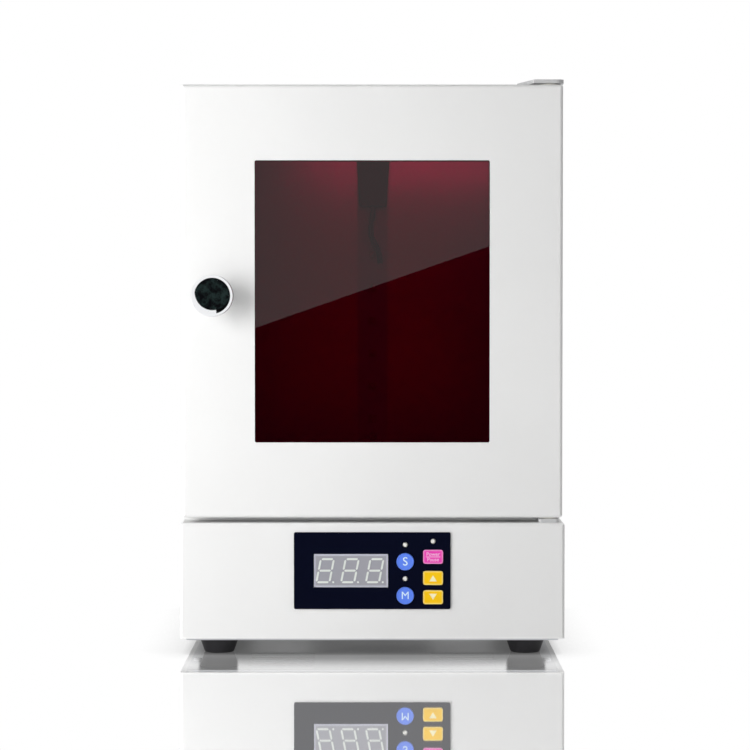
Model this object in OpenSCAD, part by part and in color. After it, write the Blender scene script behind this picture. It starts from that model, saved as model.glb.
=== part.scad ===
// Benchtop light curing cabinet for a dental laboratory.
// A folded steel base carries the controls, the supply and the turntable motor. A steel cabinet with a
// mirror-finished chamber stands on it, closed by a hinged door with a light-blocking red window.
// Millimetres, +Z up. The front faces -Y, and the origin is the centre of the footprint on the table.

/* [Base] */
// Width of the base housing
base_w = 230; // [215:1:255]
// Depth from the front face to the outer face of the rear panel
depth = 250; // [235:1:280]
// Height of the base from the underside of its bottom plate to its top face
base_h = 70.5; // [68:0.5:90]
// Thickness of the folded steel sheet
sheet_t = 1.2; // [1:0.1:1.5]
// Outside radius of the folded edges
bend_r = 2; // [1.8:0.1:2.6]
// Width of the folded returns that the covers screw to
return_w = 10; // [8:0.5:11]
// Setback of the bottom plate inside the base's sides
bottom_side = 3.5; // [2:0.5:6]
// Thickness of the bottom plate
bottom_t = 1.2; // [1:0.1:2]
// Setback of the bottom plate behind the front face
bottom_setback = 2.5; // [1:0.5:5]
// Thickness of the rear panel
rear_t = 1; // [0.8:0.1:1.5]

/* [Feet] */
// Height of the rubber feet
foot_h = 9; // [8:0.5:14]
// Diameter of a foot where it meets the bottom plate
foot_top_d = 24; // [20:0.5:26]
// Diameter of a foot on the table
foot_tip_d = 17.5; // [15:0.5:20]
// Distance of the foot centres from the base's sides
foot_inset_x = 22.5; // [20:0.5:26]
// Distance of the foot centres from the front and rear faces
foot_inset_y = 20; // [18:1:40]

/* [Cabinet] */
// Setback of the cabinet's sides inside the base's sides
body_side = 2; // [1:0.5:3]
// Outside radius of the cabinet's top bends
wrap_r = 2.5; // [1.8:0.1:4]
// Thickness of the front frame round the chamber mouth
frame_t = 1.2; // [1:0.1:1.5]
// Width of the front frame beside the mouth
frame_side = 20; // [19.5:0.5:24]
// Width of the front frame above the mouth
frame_top = 20; // [19:0.5:26]
// Width of the front frame below the mouth
frame_bottom = 13.5; // [12:0.5:16]
// Corner radius of the mouth
mouth_r = 3; // [2:0.5:6]
// Depth of the folded lip round the mouth
mouth_lip = 12; // [8:0.5:16]
// Thickness of the mirror-finished chamber lining
liner_t = 0.8; // [0.6:0.1:1.2]
// Free depth between the chamber's back wall and the rear panel
rear_space = 43; // [40:0.5:48]
// Height of the chamber floor's folded rim above the base
floor_rim = 5; // [4:0.5:6]

/* [Door] */
// Setback of the door's sides inside the base's sides
door_side = 1.5; // [0.5:0.5:2.5]
// Height of the door
door_h = 258; // [252:1:300]
// Thickness of the door
door_t = 20; // [19:0.5:24]
// Thickness of the door's back plate
back_t = 1; // [0.8:0.1:1.5]
// Setback of the back plate's edges inside the door's outline
back_setback = 2; // [1.8:0.1:3]
// Distance from the door's side edges to the window cut-out
window_side = 43.5; // [41:0.5:58]
// Distance from the door's upper and lower edges to the window cut-out
window_end = 45; // [41:0.5:69]
// Corner radius of the window cut-out
window_r = 1; // [0.5:0.25:3]
// Thickness of the window pane
pane_t = 3; // [2:0.5:4]
// Overlap of the pane and its clamping frame round the cut-out
pane_lap = 10; // [8:0.5:12]
// Wall of the window's clamping frame
clamp_t = 2; // [1.5:0.25:2.5]
// Distance from the hinge axis to the door's side edge
hinge_inset = 8; // [7.5:0.5:9]
// Distance from the door's front face to the hinge axis
hinge_depth = 8; // [7.5:0.5:9]
// Least gap between the swinging door's rear corner and the cabinet
swing_gap = 0.6; // [0.4:0.1:1.5]
// Gap between the closed gasket and the front frame
gasket_gap = 0.3; // [0.2:0.1:0.4]
// Width of the gasket
gasket_w = 5; // [4:0.5:6]
// Distance from the mouth to the gasket
gasket_in = 3; // [2:0.5:3.5]

/* [Hinges and catch] */
// Thickness of the hinge plates
hinge_plate_t = 2.3; // [2:0.1:3]
// Width of the upper hinge plate at its front edge
hinge_plate_w = 18; // [17:0.5:22]
// Length of the upper hinge plate
hinge_plate_l = 58; // [54:1:70]
// Widening of the upper hinge plate towards the rear
hinge_flare = 8; // [0:1:14]
// Overhang of the upper hinge plate beyond the door's side edge
hinge_over = 0.7; // [0:0.1:1.5]
// Corner radius of the upper hinge plate at the front
hinge_plate_r = 5; // [2:0.5:7]
// Width of the lower hinge plate
hinge_foot_w = 12; // [11:0.5:14]
// Diameter of the hinge pins
hinge_pin_d = 5; // [4:0.5:6]
// Length of pin inside the door
hinge_pin_reach = 12; // [10:0.5:16]
// Outer diameter of the nylon hinge bushes
bush_d = 8; // [7.5:0.5:9]
// Length of a hinge bush inside the door
bush_l = 8; // [6:0.5:9]
// Diameter of the bush flange
bush_flange_d = 11; // [10.5:0.5:12]
// Thickness of the bush flange
bush_flange_t = 0.6; // [0.5:0.1:1]
// Diameter of the catch magnets
magnet_d = 8; // [6:0.5:8.5]
// Length of the catch magnets
magnet_l = 8; // [5:0.5:12]
// Distance between the two catch magnets
magnet_span = 120; // [90:5:140]

/* [Knob] */
// Diameter of the knob's head
knob_d = 25; // [20:0.5:30]
// Distance that the knob stands out from the door
knob_l = 22; // [20:0.5:28]
// Thickness of the knob's head
knob_head_t = 9; // [8:0.5:10]
// Radius of the rim of the knob's head
knob_rim_r = 2.2; // [1.5:0.1:3]
// Radius of the domed face of the knob
knob_dome_r = 90; // [60:5:140]
// Diameter of the knob's foot on the door
knob_foot_d = 14; // [12:0.5:17]
// Radius of the knob's waist curve
knob_waist_r = 6; // [5:0.5:6.5]
// Distance from the door's free edge to the knob's axis
knob_inset = 19.5; // [17:0.5:22]
// Height of the knob's axis above the door's lower edge
knob_height = 132.5; // [60:0.5:200]

/* [Control panel] */
// Width of the black control fascia
fascia_w = 93.5; // [92:0.5:98]
// Height of the control fascia
fascia_h = 46; // [45:0.5:50]
// Thickness of the control fascia
fascia_t = 0.8; // [0.6:0.1:1.2]
// Distance from the base's top face to the fascia's upper edge
fascia_drop = 5.5; // [4:0.5:8]
// Width of the display
display_w = 44.2; // [43:0.2:46]
// Height of the display
display_h = 19.8; // [18.4:0.2:22]
// Depth of the display module
display_depth = 8.2; // [8:0.1:10]
// Distance of the display's centre to the left of the fascia's centre
display_x = 12.7; // [11.5:0.1:14]
// Height of one digit
digit_h = 15; // [12:0.5:16]
// Width of one digit
digit_w = 9; // [7:0.5:10]
// Distance between digits
digit_pitch = 14.8; // [13:0.1:14.8]
// Width of a digit's bars
segment_w = 1.2; // [1:0.1:1.8]
// Distance from the fascia's centre to the column of round keys
round_keys_x = 19.7; // [19:0.1:21]
// Height of the upper round key above the fascia's centre
round_key_rise = 5.4; // [4:0.1:7]
// Distance between the round keys
round_key_pitch = 20.3; // [19:0.1:21]
// Diameter of the round keys
round_key_d = 10.3; // [8:0.1:11]
// Distance from the fascia's centre to the column of oblong keys
oblong_keys_x = 36.3; // [35.5:0.1:37]
// Height of the upper oblong key above the fascia's centre
power_key_rise = 8.4; // [7.6:0.1:9]
// Distance from the upper oblong key down to the first arrow key
power_key_pitch = 12.7; // [12:0.1:13.5]
// Distance between the arrow keys
arrow_key_pitch = 11.5; // [11:0.1:12]
// Width of the oblong keys
oblong_key_w = 11.8; // [10:0.1:12.4]
// Height of the oblong keys
oblong_key_h = 8.3; // [7:0.1:8.6]
// Corner radius of the oblong keys
oblong_key_r = 2; // [1:0.1:3]
// Distance that a key stands out from the fascia
key_proud = 1; // [0.8:0.1:1.5]
// Travel of a key
key_travel = 0.5; // [0.3:0.1:0.6]
// Diameter of the indicator lamps
lamp_d = 3; // [2:0.5:3.5]
// Height of an indicator lamp above its round key
round_lamp_rise = 10.1; // [9.5:0.1:11]
// Height of the indicator lamp above the upper oblong key
power_lamp_rise = 9.2; // [8.5:0.1:9.6]

/* [Turntable] */
// Gap between the turntable plate's edge and the lamps
table_gap = 4.4; // [3:0.1:28]
// Height of the turntable plate's edge
table_t = 4; // [3:0.5:6]
// Thickness of the turntable plate inside its edge
table_web = 2; // [1.5:0.25:2.5]
// Width of the turntable plate's raised edge
table_edge_w = 3; // [2:0.5:5]
// Height of the turntable plate above the chamber floor
table_lift = 10; // [9:0.5:14]
// Diameter of the drive hub's flange
hub_flange_d = 50; // [42:1:60]
// Diameter of the hub's boss
hub_boss_d = 16; // [14:0.5:18]
// Diameter of the motor's output shaft
shaft_d = 7; // [6:0.5:8]
// Diameter of the turntable motor
motor_d = 49.5; // [42:0.5:50]
// Height of the turntable motor's case
motor_h = 18; // [14:0.5:20]
// Distance between the motor's fixing ears
motor_ear_span = 60; // [59:0.5:64]

/* [Lamps and cooling] */
// Length of the wall lamp boards
board_l = 190; // [150:1:196]
// Length of the roof lamp board
roof_board_l = 140; // [110:1:150]
// Width of the lamp boards
board_w = 20; // [16:0.5:24]
// Thickness of the lamp boards
board_t = 1.6; // [1.2:0.1:2]
// Distance between emitters along a board
emitter_pitch = 22; // [14:1:30]
// Side of an emitter's square base
emitter_s = 5; // [3.5:0.5:6]
// Width of the finned heat sinks
sink_w = 50; // [40:1:56]
// Thickness of a heat sink's base
sink_base_t = 3; // [2:0.5:4]
// Height of a heat sink's fins
fin_h = 8; // [6:0.5:8]
// Thickness of a fin
fin_t = 1.2; // [1:0.1:1.6]
// Distance between fins
fin_pitch = 6; // [5:0.5:8]
// Side of the square cooling fan
fan_s = 60; // [58:1:62]
// Thickness of the cooling fan
fan_t = 15; // [15:0.5:18]
// Distance between the fan's fixing holes
fan_hole_span = 50; // [49:0.5:51]
// Height of the fan's centre below the cabinet's top
fan_drop = 72; // [60:1:110]

/* [Supply and inlet] */
// Width of the power supply
supply_w = 98; // [80:1:100]
// Length of the power supply
supply_l = 129; // [110:1:135]
// Height of the power supply
supply_h = 30; // [26:0.5:34]
// Distance from the power supply to the base's left wall
supply_gap = 30; // [28:0.5:32]
// Height of the inlet and the switch above the bottom plate's top
inlet_height = 35; // [26:0.5:38]
// Distance from the base's right side to the power inlet's centre
inlet_side = 43; // [39:0.5:47]
// Distance from the power inlet's centre to the rocker switch's centre
switch_pitch = 44; // [38:0.5:46]
// Tilt of the rocker to either side of level
rocker_tilt = 8; // [6:1:10]

/* [Hidden] */
$fn = 64;

// Clearances
run_gap = 0.05;        // radial gap of a pin or shaft that turns in its bore
seat_gap = 0.02;       // radial gap of a piece that is fixed in its hole
slide_gap = 0.2;       // gap round keys, covers and the door's bush flanges
eps = 0.5;             // overrun of a cut past the face that it opens

// Widths
body_w = base_w - 2 * body_side;
door_w = base_w - 2 * door_side;
bottom_w = base_w - 2 * bottom_side;
window_w = door_w - 2 * window_side;
window_h = door_h - 2 * window_end;

// Screws: shank diameter, head diameter, head height
m3_pan = [3, 5.6, 2];
m3_flat = [3, 5.6, 1.6];
m4_pan = [4, 7.6, 2.6];
m4_flat = [4, 7.6, 2.1];
thread_l = 3;
cover_screw_l = 8;

// Heights
z_base0 = foot_h + bottom_t;
z_base1 = foot_h + base_h;
z_door0 = z_base1 + hinge_plate_t + bush_flange_t + slide_gap;
z_door1 = z_door0 + door_h;
z_door_mid = (z_door0 + z_door1) / 2;
z_top = z_door1 + bush_flange_t + slide_gap;

// Depths: the knob is the foremost thing, and the screws of the fan's guard are the rearmost
guard_wire_r = 0.8;
guard_lift = 0.1;
guard_eye_t = 1.2;
guard_eye_d = 7;
guard_rim = 2;
guard_pitch = 6;
rear_out = guard_eye_t + m3_pan[2];
y_front = (knob_l - rear_out - depth) / 2;
y_rear = y_front + depth;
y_rear_in = y_rear - rear_t;
y_door_back = y_front + door_t;

// The hinge axis, and the stand-off that lets the door's rear corner swing past the cabinet
x_hinge = door_w / 2 - hinge_inset;
y_hinge = y_front + hinge_depth;
hinge_to_back = door_t - hinge_depth;
door_standoff = norm([hinge_inset, hinge_to_back]) - hinge_to_back + swing_gap;
y_frame = y_door_back + door_standoff;
y_frame_in = y_frame + frame_t;

// The chamber
mouth_w = body_w - 2 * frame_side;
z_mouth0 = z_base1 + frame_bottom;
z_mouth1 = z_top - frame_top;
z_mouth_mid = (z_mouth0 + z_mouth1) / 2;
z_floor = z_base1 + floor_rim + liner_t;
z_roof = z_mouth1 + frame_t;
liner_in_w = mouth_w + 2 * frame_t;
liner_out_w = liner_in_w + 2 * liner_t;
liner_bend_r = 2;
roof_flange_h = 6;
y_liner_out = y_rear_in - rear_space;
y_liner_in = y_liner_out - liner_t;
wrap_in_w = body_w - 2 * sheet_t;

// Screws that hold the covers, in the middle of the folded returns
screw_in = sheet_t + return_w / 2;
rear_screw_spots = [
  for (sx = [-1, 1], z = [z_base0 + 2 * screw_in, z_base1 - 2 * screw_in])
    [sx * (base_w / 2 - screw_in), z],
  for (sx = [-1, 1], z = [z_base1 + 2 * screw_in, (z_base1 + z_top) / 2, z_top - 2 * screw_in])
    [sx * (body_w / 2 - screw_in), z]
];
frame_screw_spots = [
  for (sx = [-1, 1], z = [z_mouth0 + screw_in, z_mouth_mid, z_mouth1 - screw_in])
    [sx * (body_w / 2 - screw_in), z]
];
bottom_screw_spots = [
  for (sx = [-1, 1], sy = [-1, 1])
    [sx * (base_w / 2 - sheet_t - return_w * 0.7), (y_front + y_rear) / 2 + sy * depth / 3]
];
wrap_screw_spots = [
  for (sx = [-1, 1], sy = [-1, 1])
    [sx * (body_w / 2 - screw_in), (y_frame + y_rear) / 2 + sy * depth / 4]
];

// Feet
foot_spots = [
  for (sx = [-1, 1], y = [y_front + foot_inset_y, y_rear - foot_inset_y])
    [sx * (base_w / 2 - foot_inset_x), y]
];
foot_edge_r = 1.2;
foot_recess_d = 9;
foot_recess_h = 5;
foot_nut_d = 8;
foot_nut_h = 3;

// Slots for air
slot_w = 3;
slot_r = 1.45;
bottom_vent_l = 40;
base_vent_l = 42;
body_vent_l = 90;
vent_rise = 40;
wire_hole_d = 16;

// Lamps
emitter_base_t = 1.2;
emitter_lens_t = 1.3;
emitter_rise = emitter_base_t + emitter_lens_t;
z_lamps = (z_floor + z_roof) / 2 + table_lift / 2;
board_screw_in = 6;

// The turntable, driven by a motor under the base's top: the largest that turns clear of the lamps
lamp_rise = board_t + emitter_rise;
y_table = (y_frame_in + y_liner_in - lamp_rise) / 2;
table_room = min(liner_in_w - 2 * lamp_rise, y_liner_in - lamp_rise - y_frame_in);
table_d = table_room - 2 * table_gap;
z_table0 = z_floor + table_lift;
table_edge_r = 0.8;
bracket_t = 2;
bracket_drop = 10;
bracket_l = 84;
bracket_w = 40;
bracket_flange = 12;
bracket_screw_spots = [
  for (sx = [-1, 1], sy = [-1, 1])
    [sx * (bracket_l / 2 + bracket_flange / 2), y_table + sy * bracket_w / 4]
];
z_bracket1 = z_base1 - sheet_t;
z_motor1 = z_bracket1 - bracket_drop;
motor_bore_l = 10;
motor_boss_d = 14;
motor_ear_w = 12;
motor_ear_t = 2;
shaft_bush_d = 12;
shaft_bush_flange_d = 18;
shaft_bush_flange_t = 1;
z_shaft_bush0 = z_base1 - sheet_t - 1.5;
z_hub0 = z_floor + shaft_bush_flange_t + 1.5 * slide_gap;
hub_flange_t = 3;
hub_spigot_d = 12;
hub_peg_d = 4;
hub_peg_r = 17;
hub_bore_l = 2;

// The fan
z_fan = z_top - fan_drop;
y_fan0 = y_rear_in - fan_t;
fan_bore_d = fan_s - 4;
fan_corner_r = 3;
fan_tip_gap = 0.8;
fan_hub_d = 30;
fan_base_t = 3;
fan_strut_w = 4;
fan_bearing_l = 5;
fan_shaft_d = 3;
fan_blades = 7;
fan_blade_pitch = 38;
fan_web_t = 1.5;
fan_blade_t = 1.4;
fan_shaft_inset = 1;
fan_run_gap = 0.4;
y_rotor0 = y_fan0 + fan_base_t + fan_run_gap + slide_gap;
y_rotor1 = y_rotor0 + fan_t * 0.6;
fan_screw_spots = [
  for (sx = [-1, 1], sz = [-1, 1]) [sx * fan_hole_span / 2, z_fan + sz * fan_hole_span / 2]
];

// The control panel, from the front: fascia, folded front, keys, switches and board
z_fascia = z_base1 - fascia_drop - fascia_h / 2;
fascia_r = 1;
display_recess = 0.4;
segment_t = 0.2;
segment_gap = 0.4;
digit_lean = 11;
y_fascia = y_front - fascia_t;
y_board = y_fascia + display_recess + display_depth;
control_board_t = 1.6;
control_board_side = 7;
control_board_r = 2;
stud_l = 2;
tact_s = 6;
tact_h = 3.5;
tact_plunger_d = 3.4;
tact_plunger_h = 0.8;
key_rest_gap = 0.1;
key_flange_lap = 1;
key_edge = 0.4;
y_key0 = y_fascia - key_proud;
y_key_stop = y_front + sheet_t + slide_gap;
y_key_back = y_board - tact_h - tact_plunger_h - key_travel - key_rest_gap;
z_key_set = z_fascia + round_key_rise;
z_key_mode = z_key_set - round_key_pitch;
z_key_power = z_fascia + power_key_rise;
z_key_up = z_key_power - power_key_pitch;
z_key_down = z_key_up - arrow_key_pitch;
key_spots = [
  [round_keys_x, z_key_set], [round_keys_x, z_key_mode], [oblong_keys_x, z_key_power],
  [oblong_keys_x, z_key_up], [oblong_keys_x, z_key_down]
];
lamp_spots = [
  [round_keys_x, z_key_set + round_lamp_rise], [round_keys_x, z_key_mode + round_lamp_rise],
  [oblong_keys_x, z_key_power + power_lamp_rise]
];
lamp_dome = 0.6;
lamp_collar = 2.5;
lamp_collar_w = 0.4;
standoff_d = 5;
standoff_spots = [
  for (sx = [-1, 1], sz = [-1, 1])
    [sx * (fascia_w + control_board_side) / 2, z_fascia + sz * (fascia_h / 2 - standoff_d)]
];

// The door
y_pane0 = y_front + sheet_t;
y_pane1 = y_pane0 + pane_t;
pane_r = 2;
y_back_plate = y_door_back - back_t;
hinge_block_h = hinge_pin_reach + 3;
hinge_block_s = 2 * min(hinge_inset, hinge_depth) - 2 * sheet_t;
x_catch = -(body_w / 2 - screw_in);
magnet_heights = [z_door_mid - magnet_span / 2, z_door_mid + magnet_span / 2];
strike_w = 8;
strike_l = 20;
strike_r = 1.5;
x_knob = -door_w / 2 + knob_inset;
z_knob = z_door0 + knob_height;
knob_screw_l = 14;
back_screw_spots = concat(
  [for (sx = [-1, 1], z = [z_mouth0 + screw_in, z_door_mid, z_mouth1 - screw_in])
    [sx * (door_w / 2 - screw_in), z]],
  [for (sx = [-1, 1]) [sx * door_w / 5, z_door1 - screw_in]]
);
sensor_x = -door_w / 3;
z_sensor = z_door1 - screw_in;
sensor_l = 26;
sensor_w = 7;
sensor_t = 6;
sensor_r = 1.5;
sensor_magnet_t = 4;

// The hinge plates
hinge_plate_x1 = door_w / 2 + hinge_over;
hinge_plate_x0 = hinge_plate_x1 - hinge_plate_w;
hinge_plate_y0 = y_front + 2;
hinge_plate_y1 = hinge_plate_y0 + hinge_plate_l;
hinge_foot_y0 = y_front + 2.5;
hinge_foot_y1 = y_frame - slide_gap;
hinge_screw_in = 8;
hinge_top_screw_spots = [
  [hinge_plate_x1 - hinge_screw_in, hinge_plate_y1 - hinge_screw_in],
  [hinge_plate_x0 - hinge_flare + hinge_screw_in, hinge_plate_y1 - hinge_screw_in],
  [(hinge_plate_x0 + hinge_plate_x1) / 2, hinge_plate_y1 - 2.75 * hinge_screw_in]
];
hinge_foot_screw = [x_hinge, hinge_foot_y1 - hinge_screw_in * 0.4];

// The inlet and the switch
inlet_x = base_w / 2 - inlet_side;
switch_x = inlet_x - switch_pitch;
z_inlet = z_base0 + inlet_height;
inlet_flange_t = 2.4;
inlet_ear_span = 40;
inlet_screw_xs = [inlet_x - inlet_ear_span / 2, inlet_x + inlet_ear_span / 2];
inlet_body_w = 28;
inlet_body_h = 20.5;
inlet_cavity_w = 24.4;
inlet_cavity_h = 16.6;
inlet_cavity_l = 15;
inlet_floor_t = 3;
inlet_pin_w = 2.2;
inlet_pin_h = 4;
inlet_pin_spots = [[-7, -2], [0, 2], [7, -2]];
inlet_tab_l = 8;
inlet_ear_h = 10;
y_inlet1 = y_rear + inlet_flange_t;
y_inlet0 = y_inlet1 - inlet_cavity_l - inlet_floor_t - inlet_tab_l;
switch_bezel_w = 15;
switch_bezel_h = 21;
switch_bezel_t = 2;
switch_body_w = 13;
switch_body_h = 19;
switch_body_l = 12;
switch_well_l = 6;
switch_tab = [4.8, 7, 0.8];
switch_tab_pitch = 7;
rocker_w = 10.4;
rocker_r = 7.9;
rocker_pin_d = 2.4;
rocker_pin_l = 0.9;
rocker_face = 3.3;
rocker_dip = 0.9;
y_rocker = y_rear - 1.4;

// The power supply, clear in front of the inlet's tabs
supply_x0 = -base_w / 2 + sheet_t + supply_gap;
supply_y1 = y_inlet0 - 3;
supply_y0 = supply_y1 - supply_l;
supply_wall = 1;
supply_recess = 14;
supply_gap_in = 2;
supply_slot_pitch = 8;
supply_slot_l = 30;
supply_board_t = 1.6;
supply_board_lift = 5;
supply_post_d = 5;
transformer = [30, 28, 20];
capacitor_d = 16;
capacitor_h = 19;
filter_d = 10;
filter_h = 16;
spreader_t = 3;
spreader_h = 18;
terminal_poles = 7;
terminal_pitch = 9.5;
terminal_w = 7.2;
terminal_l = 11;
terminal_h = 13;

// Two-dimensional rounded rectangle with true arcs, centred
module rounded_rect(w, h, r) {
  square([w - 2 * r, h], center = true);
  square([w, h - 2 * r], center = true);
  for (sx = [-1, 1], sz = [-1, 1])
    translate([sx * (w / 2 - r), sz * (h / 2 - r)])
      circle(r);
}

// Rectangle from the x axis up, centred on the y axis
module rect_up(w, h) {
  translate([-w / 2, 0])
    square([w, h]);
}

// Rectangle from the x axis up, centred on the y axis, with its two upper corners rounded
module arch_rect(w, h, r) {
  rect_up(w, h - r);
  rect_up(w - 2 * r, h);
  for (sx = [-1, 1])
    translate([sx * (w / 2 - r), h - r])
      circle(r);
}

// Extrudes a profile drawn in x and z from y0 to y1
module along_y(y0, y1) {
  translate([0, y1, 0])
    rotate([90, 0, 0])
      linear_extrude(y1 - y0)
        children();
}

// Extrudes a profile drawn in y and z from x0 to x1
module along_x(x0, x1) {
  translate([x0, 0, 0])
    rotate([90, 0, 90])
      linear_extrude(x1 - x0)
        children();
}

// Extrudes upwards from z0 to z1 a profile whose rounded end faces the front, from y1 to y0
module plan_arch(w, y0, y1, z0, z1, r) {
  translate([0, y1, z0])
    linear_extrude(z1 - z0)
      mirror([0, 1])
        arch_rect(w, y1 - y0, r);
}

// Cylinder along y at x and z, from y0 to y1
module rod_y(x, z, y0, y1, d) {
  translate([x, y1, z])
    rotate([90, 0, 0])
      cylinder(d = d, h = y1 - y0);
}

// Box given by two opposite corners
module box(a, b) {
  translate(a)
    cube(b - a);
}

// Points a screw or hole, drawn with its shank along -Z, along +Y or -Y from y
module point_y(x, y, z, dir) {
  translate([x, y, z])
    rotate([dir * 90, 0, 0])
      children();
}

// Block with its front corners, its upper edges and its front upper edge rounded like folded sheet
module base_block(w, y0, y1, z0, z1, r) {
  intersection() {
    translate([0, 0, z0])
      along_y(y0, y1)
        arch_rect(w, z1 - z0, r);
    plan_arch(w, y0, y1, z0, z1, r);
    along_x(-w / 2, w / 2)
      union() {
        translate([y0 + r, z0])
          square([y1 - y0 - r, z1 - z0]);
        translate([y0, z0])
          square([y1 - y0, z1 - z0 - r]);
        translate([y0 + r, z1 - r])
          circle(r);
      }
  }
}

// Block with its outline, seen from the front, and its front edges rounded like folded sheet
module door_block(w, y0, y1, z0, z1, r) {
  intersection() {
    translate([0, 0, (z0 + z1) / 2])
      along_y(y0, y1)
        rounded_rect(w, z1 - z0, r);
    plan_arch(w, y0, y1, z0, z1, r);
    along_x(-w / 2, w / 2)
      union() {
        translate([y0 + r, z0])
          square([y1 - y0 - r, z1 - z0]);
        translate([y0, z0 + r])
          square([y1 - y0, z1 - z0 - 2 * r]);
        for (z = [z0 + r, z1 - r])
          translate([y0 + r, z])
            circle(r);
      }
  }
}

// Cross-shaped recess for the driver, sunk to the given depth below z1
module cross_recess(m, deep, z1) {
  for (a = [0, 90])
    rotate(a)
      translate([-m[1] * 0.26, -m[0] * 0.11, z1 - deep])
        cube([m[1] * 0.52, m[0] * 0.22, deep + eps]);
}

// Pan-head screw: the head's seat is at z = 0, the head above it and the shank below
module pan_screw(m, l) {
  translate([0, 0, -l])
    cylinder(d = m[0], h = l + m[2] / 4);
  difference() {
    union() {
      cylinder(d = m[1], h = m[2] / 2);
      translate([0, 0, m[2] / 2])
        cylinder(d1 = m[1], d2 = m[1] * 0.7, h = m[2] / 2);
    }
    cross_recess(m, m[2] * 0.55, m[2]);
  }
}

// Countersunk screw: the head's top is flush at z = 0 and the shank below
module flat_screw(m, l) {
  difference() {
    union() {
      translate([0, 0, -m[2]])
        cylinder(d1 = m[0], d2 = m[1], h = m[2]);
      translate([0, 0, -l])
        cylinder(d = m[0], h = l - m[2] / 2);
    }
    cross_recess(m, m[2] * 0.5, 0);
  }
}

// Hole for a screw's shank, l deep below z = 0
module shank_hole(m, l) {
  translate([0, 0, -l])
    cylinder(d = m[0] + 2 * seat_gap, h = l + eps);
}

// Hole for a countersunk screw whose head is flush at z = 0
module flat_hole(m, l) {
  translate([0, 0, -m[2]])
    cylinder(d1 = m[0] + 2 * seat_gap, d2 = m[1] + 2 * seat_gap, h = m[2]);
  translate([0, 0, -l])
    cylinder(d = m[0] + 2 * seat_gap, h = l);
}

// Base housing: folded top, front and sides, open below and behind, with returns for the covers
module base_housing() {
  wall = sheet_t;
  color("whitesmoke")
    difference() {
      union() {
        difference() {
          base_block(base_w, y_front, y_rear_in, z_base0, z_base1, bend_r);
          base_block(base_w - 2 * wall, y_front + wall, y_rear_in + eps, z_base0 - eps,
            z_base1 - wall, bend_r - wall);
        }
        base_returns();
      }
      fascia_openings(y_front - eps, y_front + wall + eps, slide_gap);
      for (p = rear_screw_spots)
        point_y(p[0], y_rear_in, p[1], -1)
          shank_hole(m3_pan, 2 * wall);
      for (p = bottom_screw_spots)
        translate([p[0], p[1], z_base0])
          mirror([0, 0, 1])
            shank_hole(m3_pan, 2 * wall);
      for (p = concat(wrap_screw_spots, bracket_screw_spots, [hinge_foot_screw]))
        translate([p[0], p[1], z_base1])
          shank_hole(m3_pan, 2 * wall);
      translate([0, y_table, z_base1 - 2 * wall])
        cylinder(d = shaft_bush_d + 2 * seat_gap, h = 3 * wall);
      for (sx = [-1, 1])
        translate([sx * body_w / 4, (y_liner_out + y_rear_in) / 2, z_base1 - 2 * wall])
          cylinder(d = wire_hole_d, h = 3 * wall);
    }
}

// Returns folded inwards along the base housing's lower edges and beside its rear opening
module base_returns() {
  in_w = base_w - 2 * sheet_t;
  lap = sheet_t / 2;
  difference() {
    plan_arch(in_w + 2 * lap, y_front + lap, y_rear_in, z_base0, z_base0 + sheet_t, bend_r - lap);
    box([-in_w / 2 + return_w, y_front + sheet_t + return_w, z_base0 - eps],
      [in_w / 2 - return_w, y_rear, z_base0 + sheet_t + eps]);
  }
  for (sx = [-1, 1])
    translate([sx * (in_w + lap - return_w) / 2, y_rear_in - sheet_t / 2, (z_base0 + z_base1) / 2])
      cube([return_w + lap, sheet_t, z_base1 - z_base0 - sheet_t], center = true);
}

// Openings for the display, keys and lamps, cut from y0 to y1 with the given gap round each
module fascia_openings(y0, y1, gap) {
  translate([-display_x, 0, z_fascia])
    along_y(y0, y1)
      square([display_w + 2 * gap, display_h + 2 * gap], center = true);
  for (z = [z_key_set, z_key_mode])
    rod_y(round_keys_x, z, y0, y1, round_key_d + 2 * gap);
  for (z = [z_key_power, z_key_up, z_key_down])
    translate([oblong_keys_x, 0, z])
      along_y(y0, y1)
        rounded_rect(oblong_key_w + 2 * gap, oblong_key_h + 2 * gap, oblong_key_r + gap);
  for (p = lamp_spots)
    rod_y(p[0], p[1], y0, y1, lamp_d + 2 * gap);
}

// Bottom plate with rows of ventilation slots
module bottom_plate() {
  y0 = y_front + bottom_setback;
  y1 = y_rear_in;
  color("gainsboro")
    difference() {
      translate([0, (y0 + y1) / 2, foot_h])
        linear_extrude(bottom_t)
          rounded_rect(bottom_w, y1 - y0, bend_r);
      for (sx = [-1, 1], i = [-3 : 3])
        translate([sx * bottom_w / 4, (y_front + supply_y0) / 2 + i * 3 * slot_w, foot_h - eps])
          linear_extrude(bottom_t + 2 * eps)
            rounded_rect(bottom_vent_l, slot_w, slot_r);
      for (p = foot_spots)
        translate([p[0], p[1], z_base0])
          shank_hole(m4_pan, bottom_t + eps);
      for (p = bottom_screw_spots)
        translate([p[0], p[1], z_base0])
          shank_hole(m3_pan, bottom_t + eps);
    }
}

// Half profile of a foot: a taper whose lower edge is rounded by an arc that touches both faces
module foot_profile() {
  r = foot_edge_r;
  flare = atan((foot_top_d - foot_tip_d) / (2 * foot_h));
  x_arc = foot_tip_d / 2 + r * tan(flare) - r / cos(flare);
  polygon([
    [0, 0], [x_arc, 0], [x_arc + r * cos(flare), r - r * sin(flare)],
    [foot_top_d / 2, foot_h], [0, foot_h]
  ]);
  translate([x_arc, r])
    circle(r);
}

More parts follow.
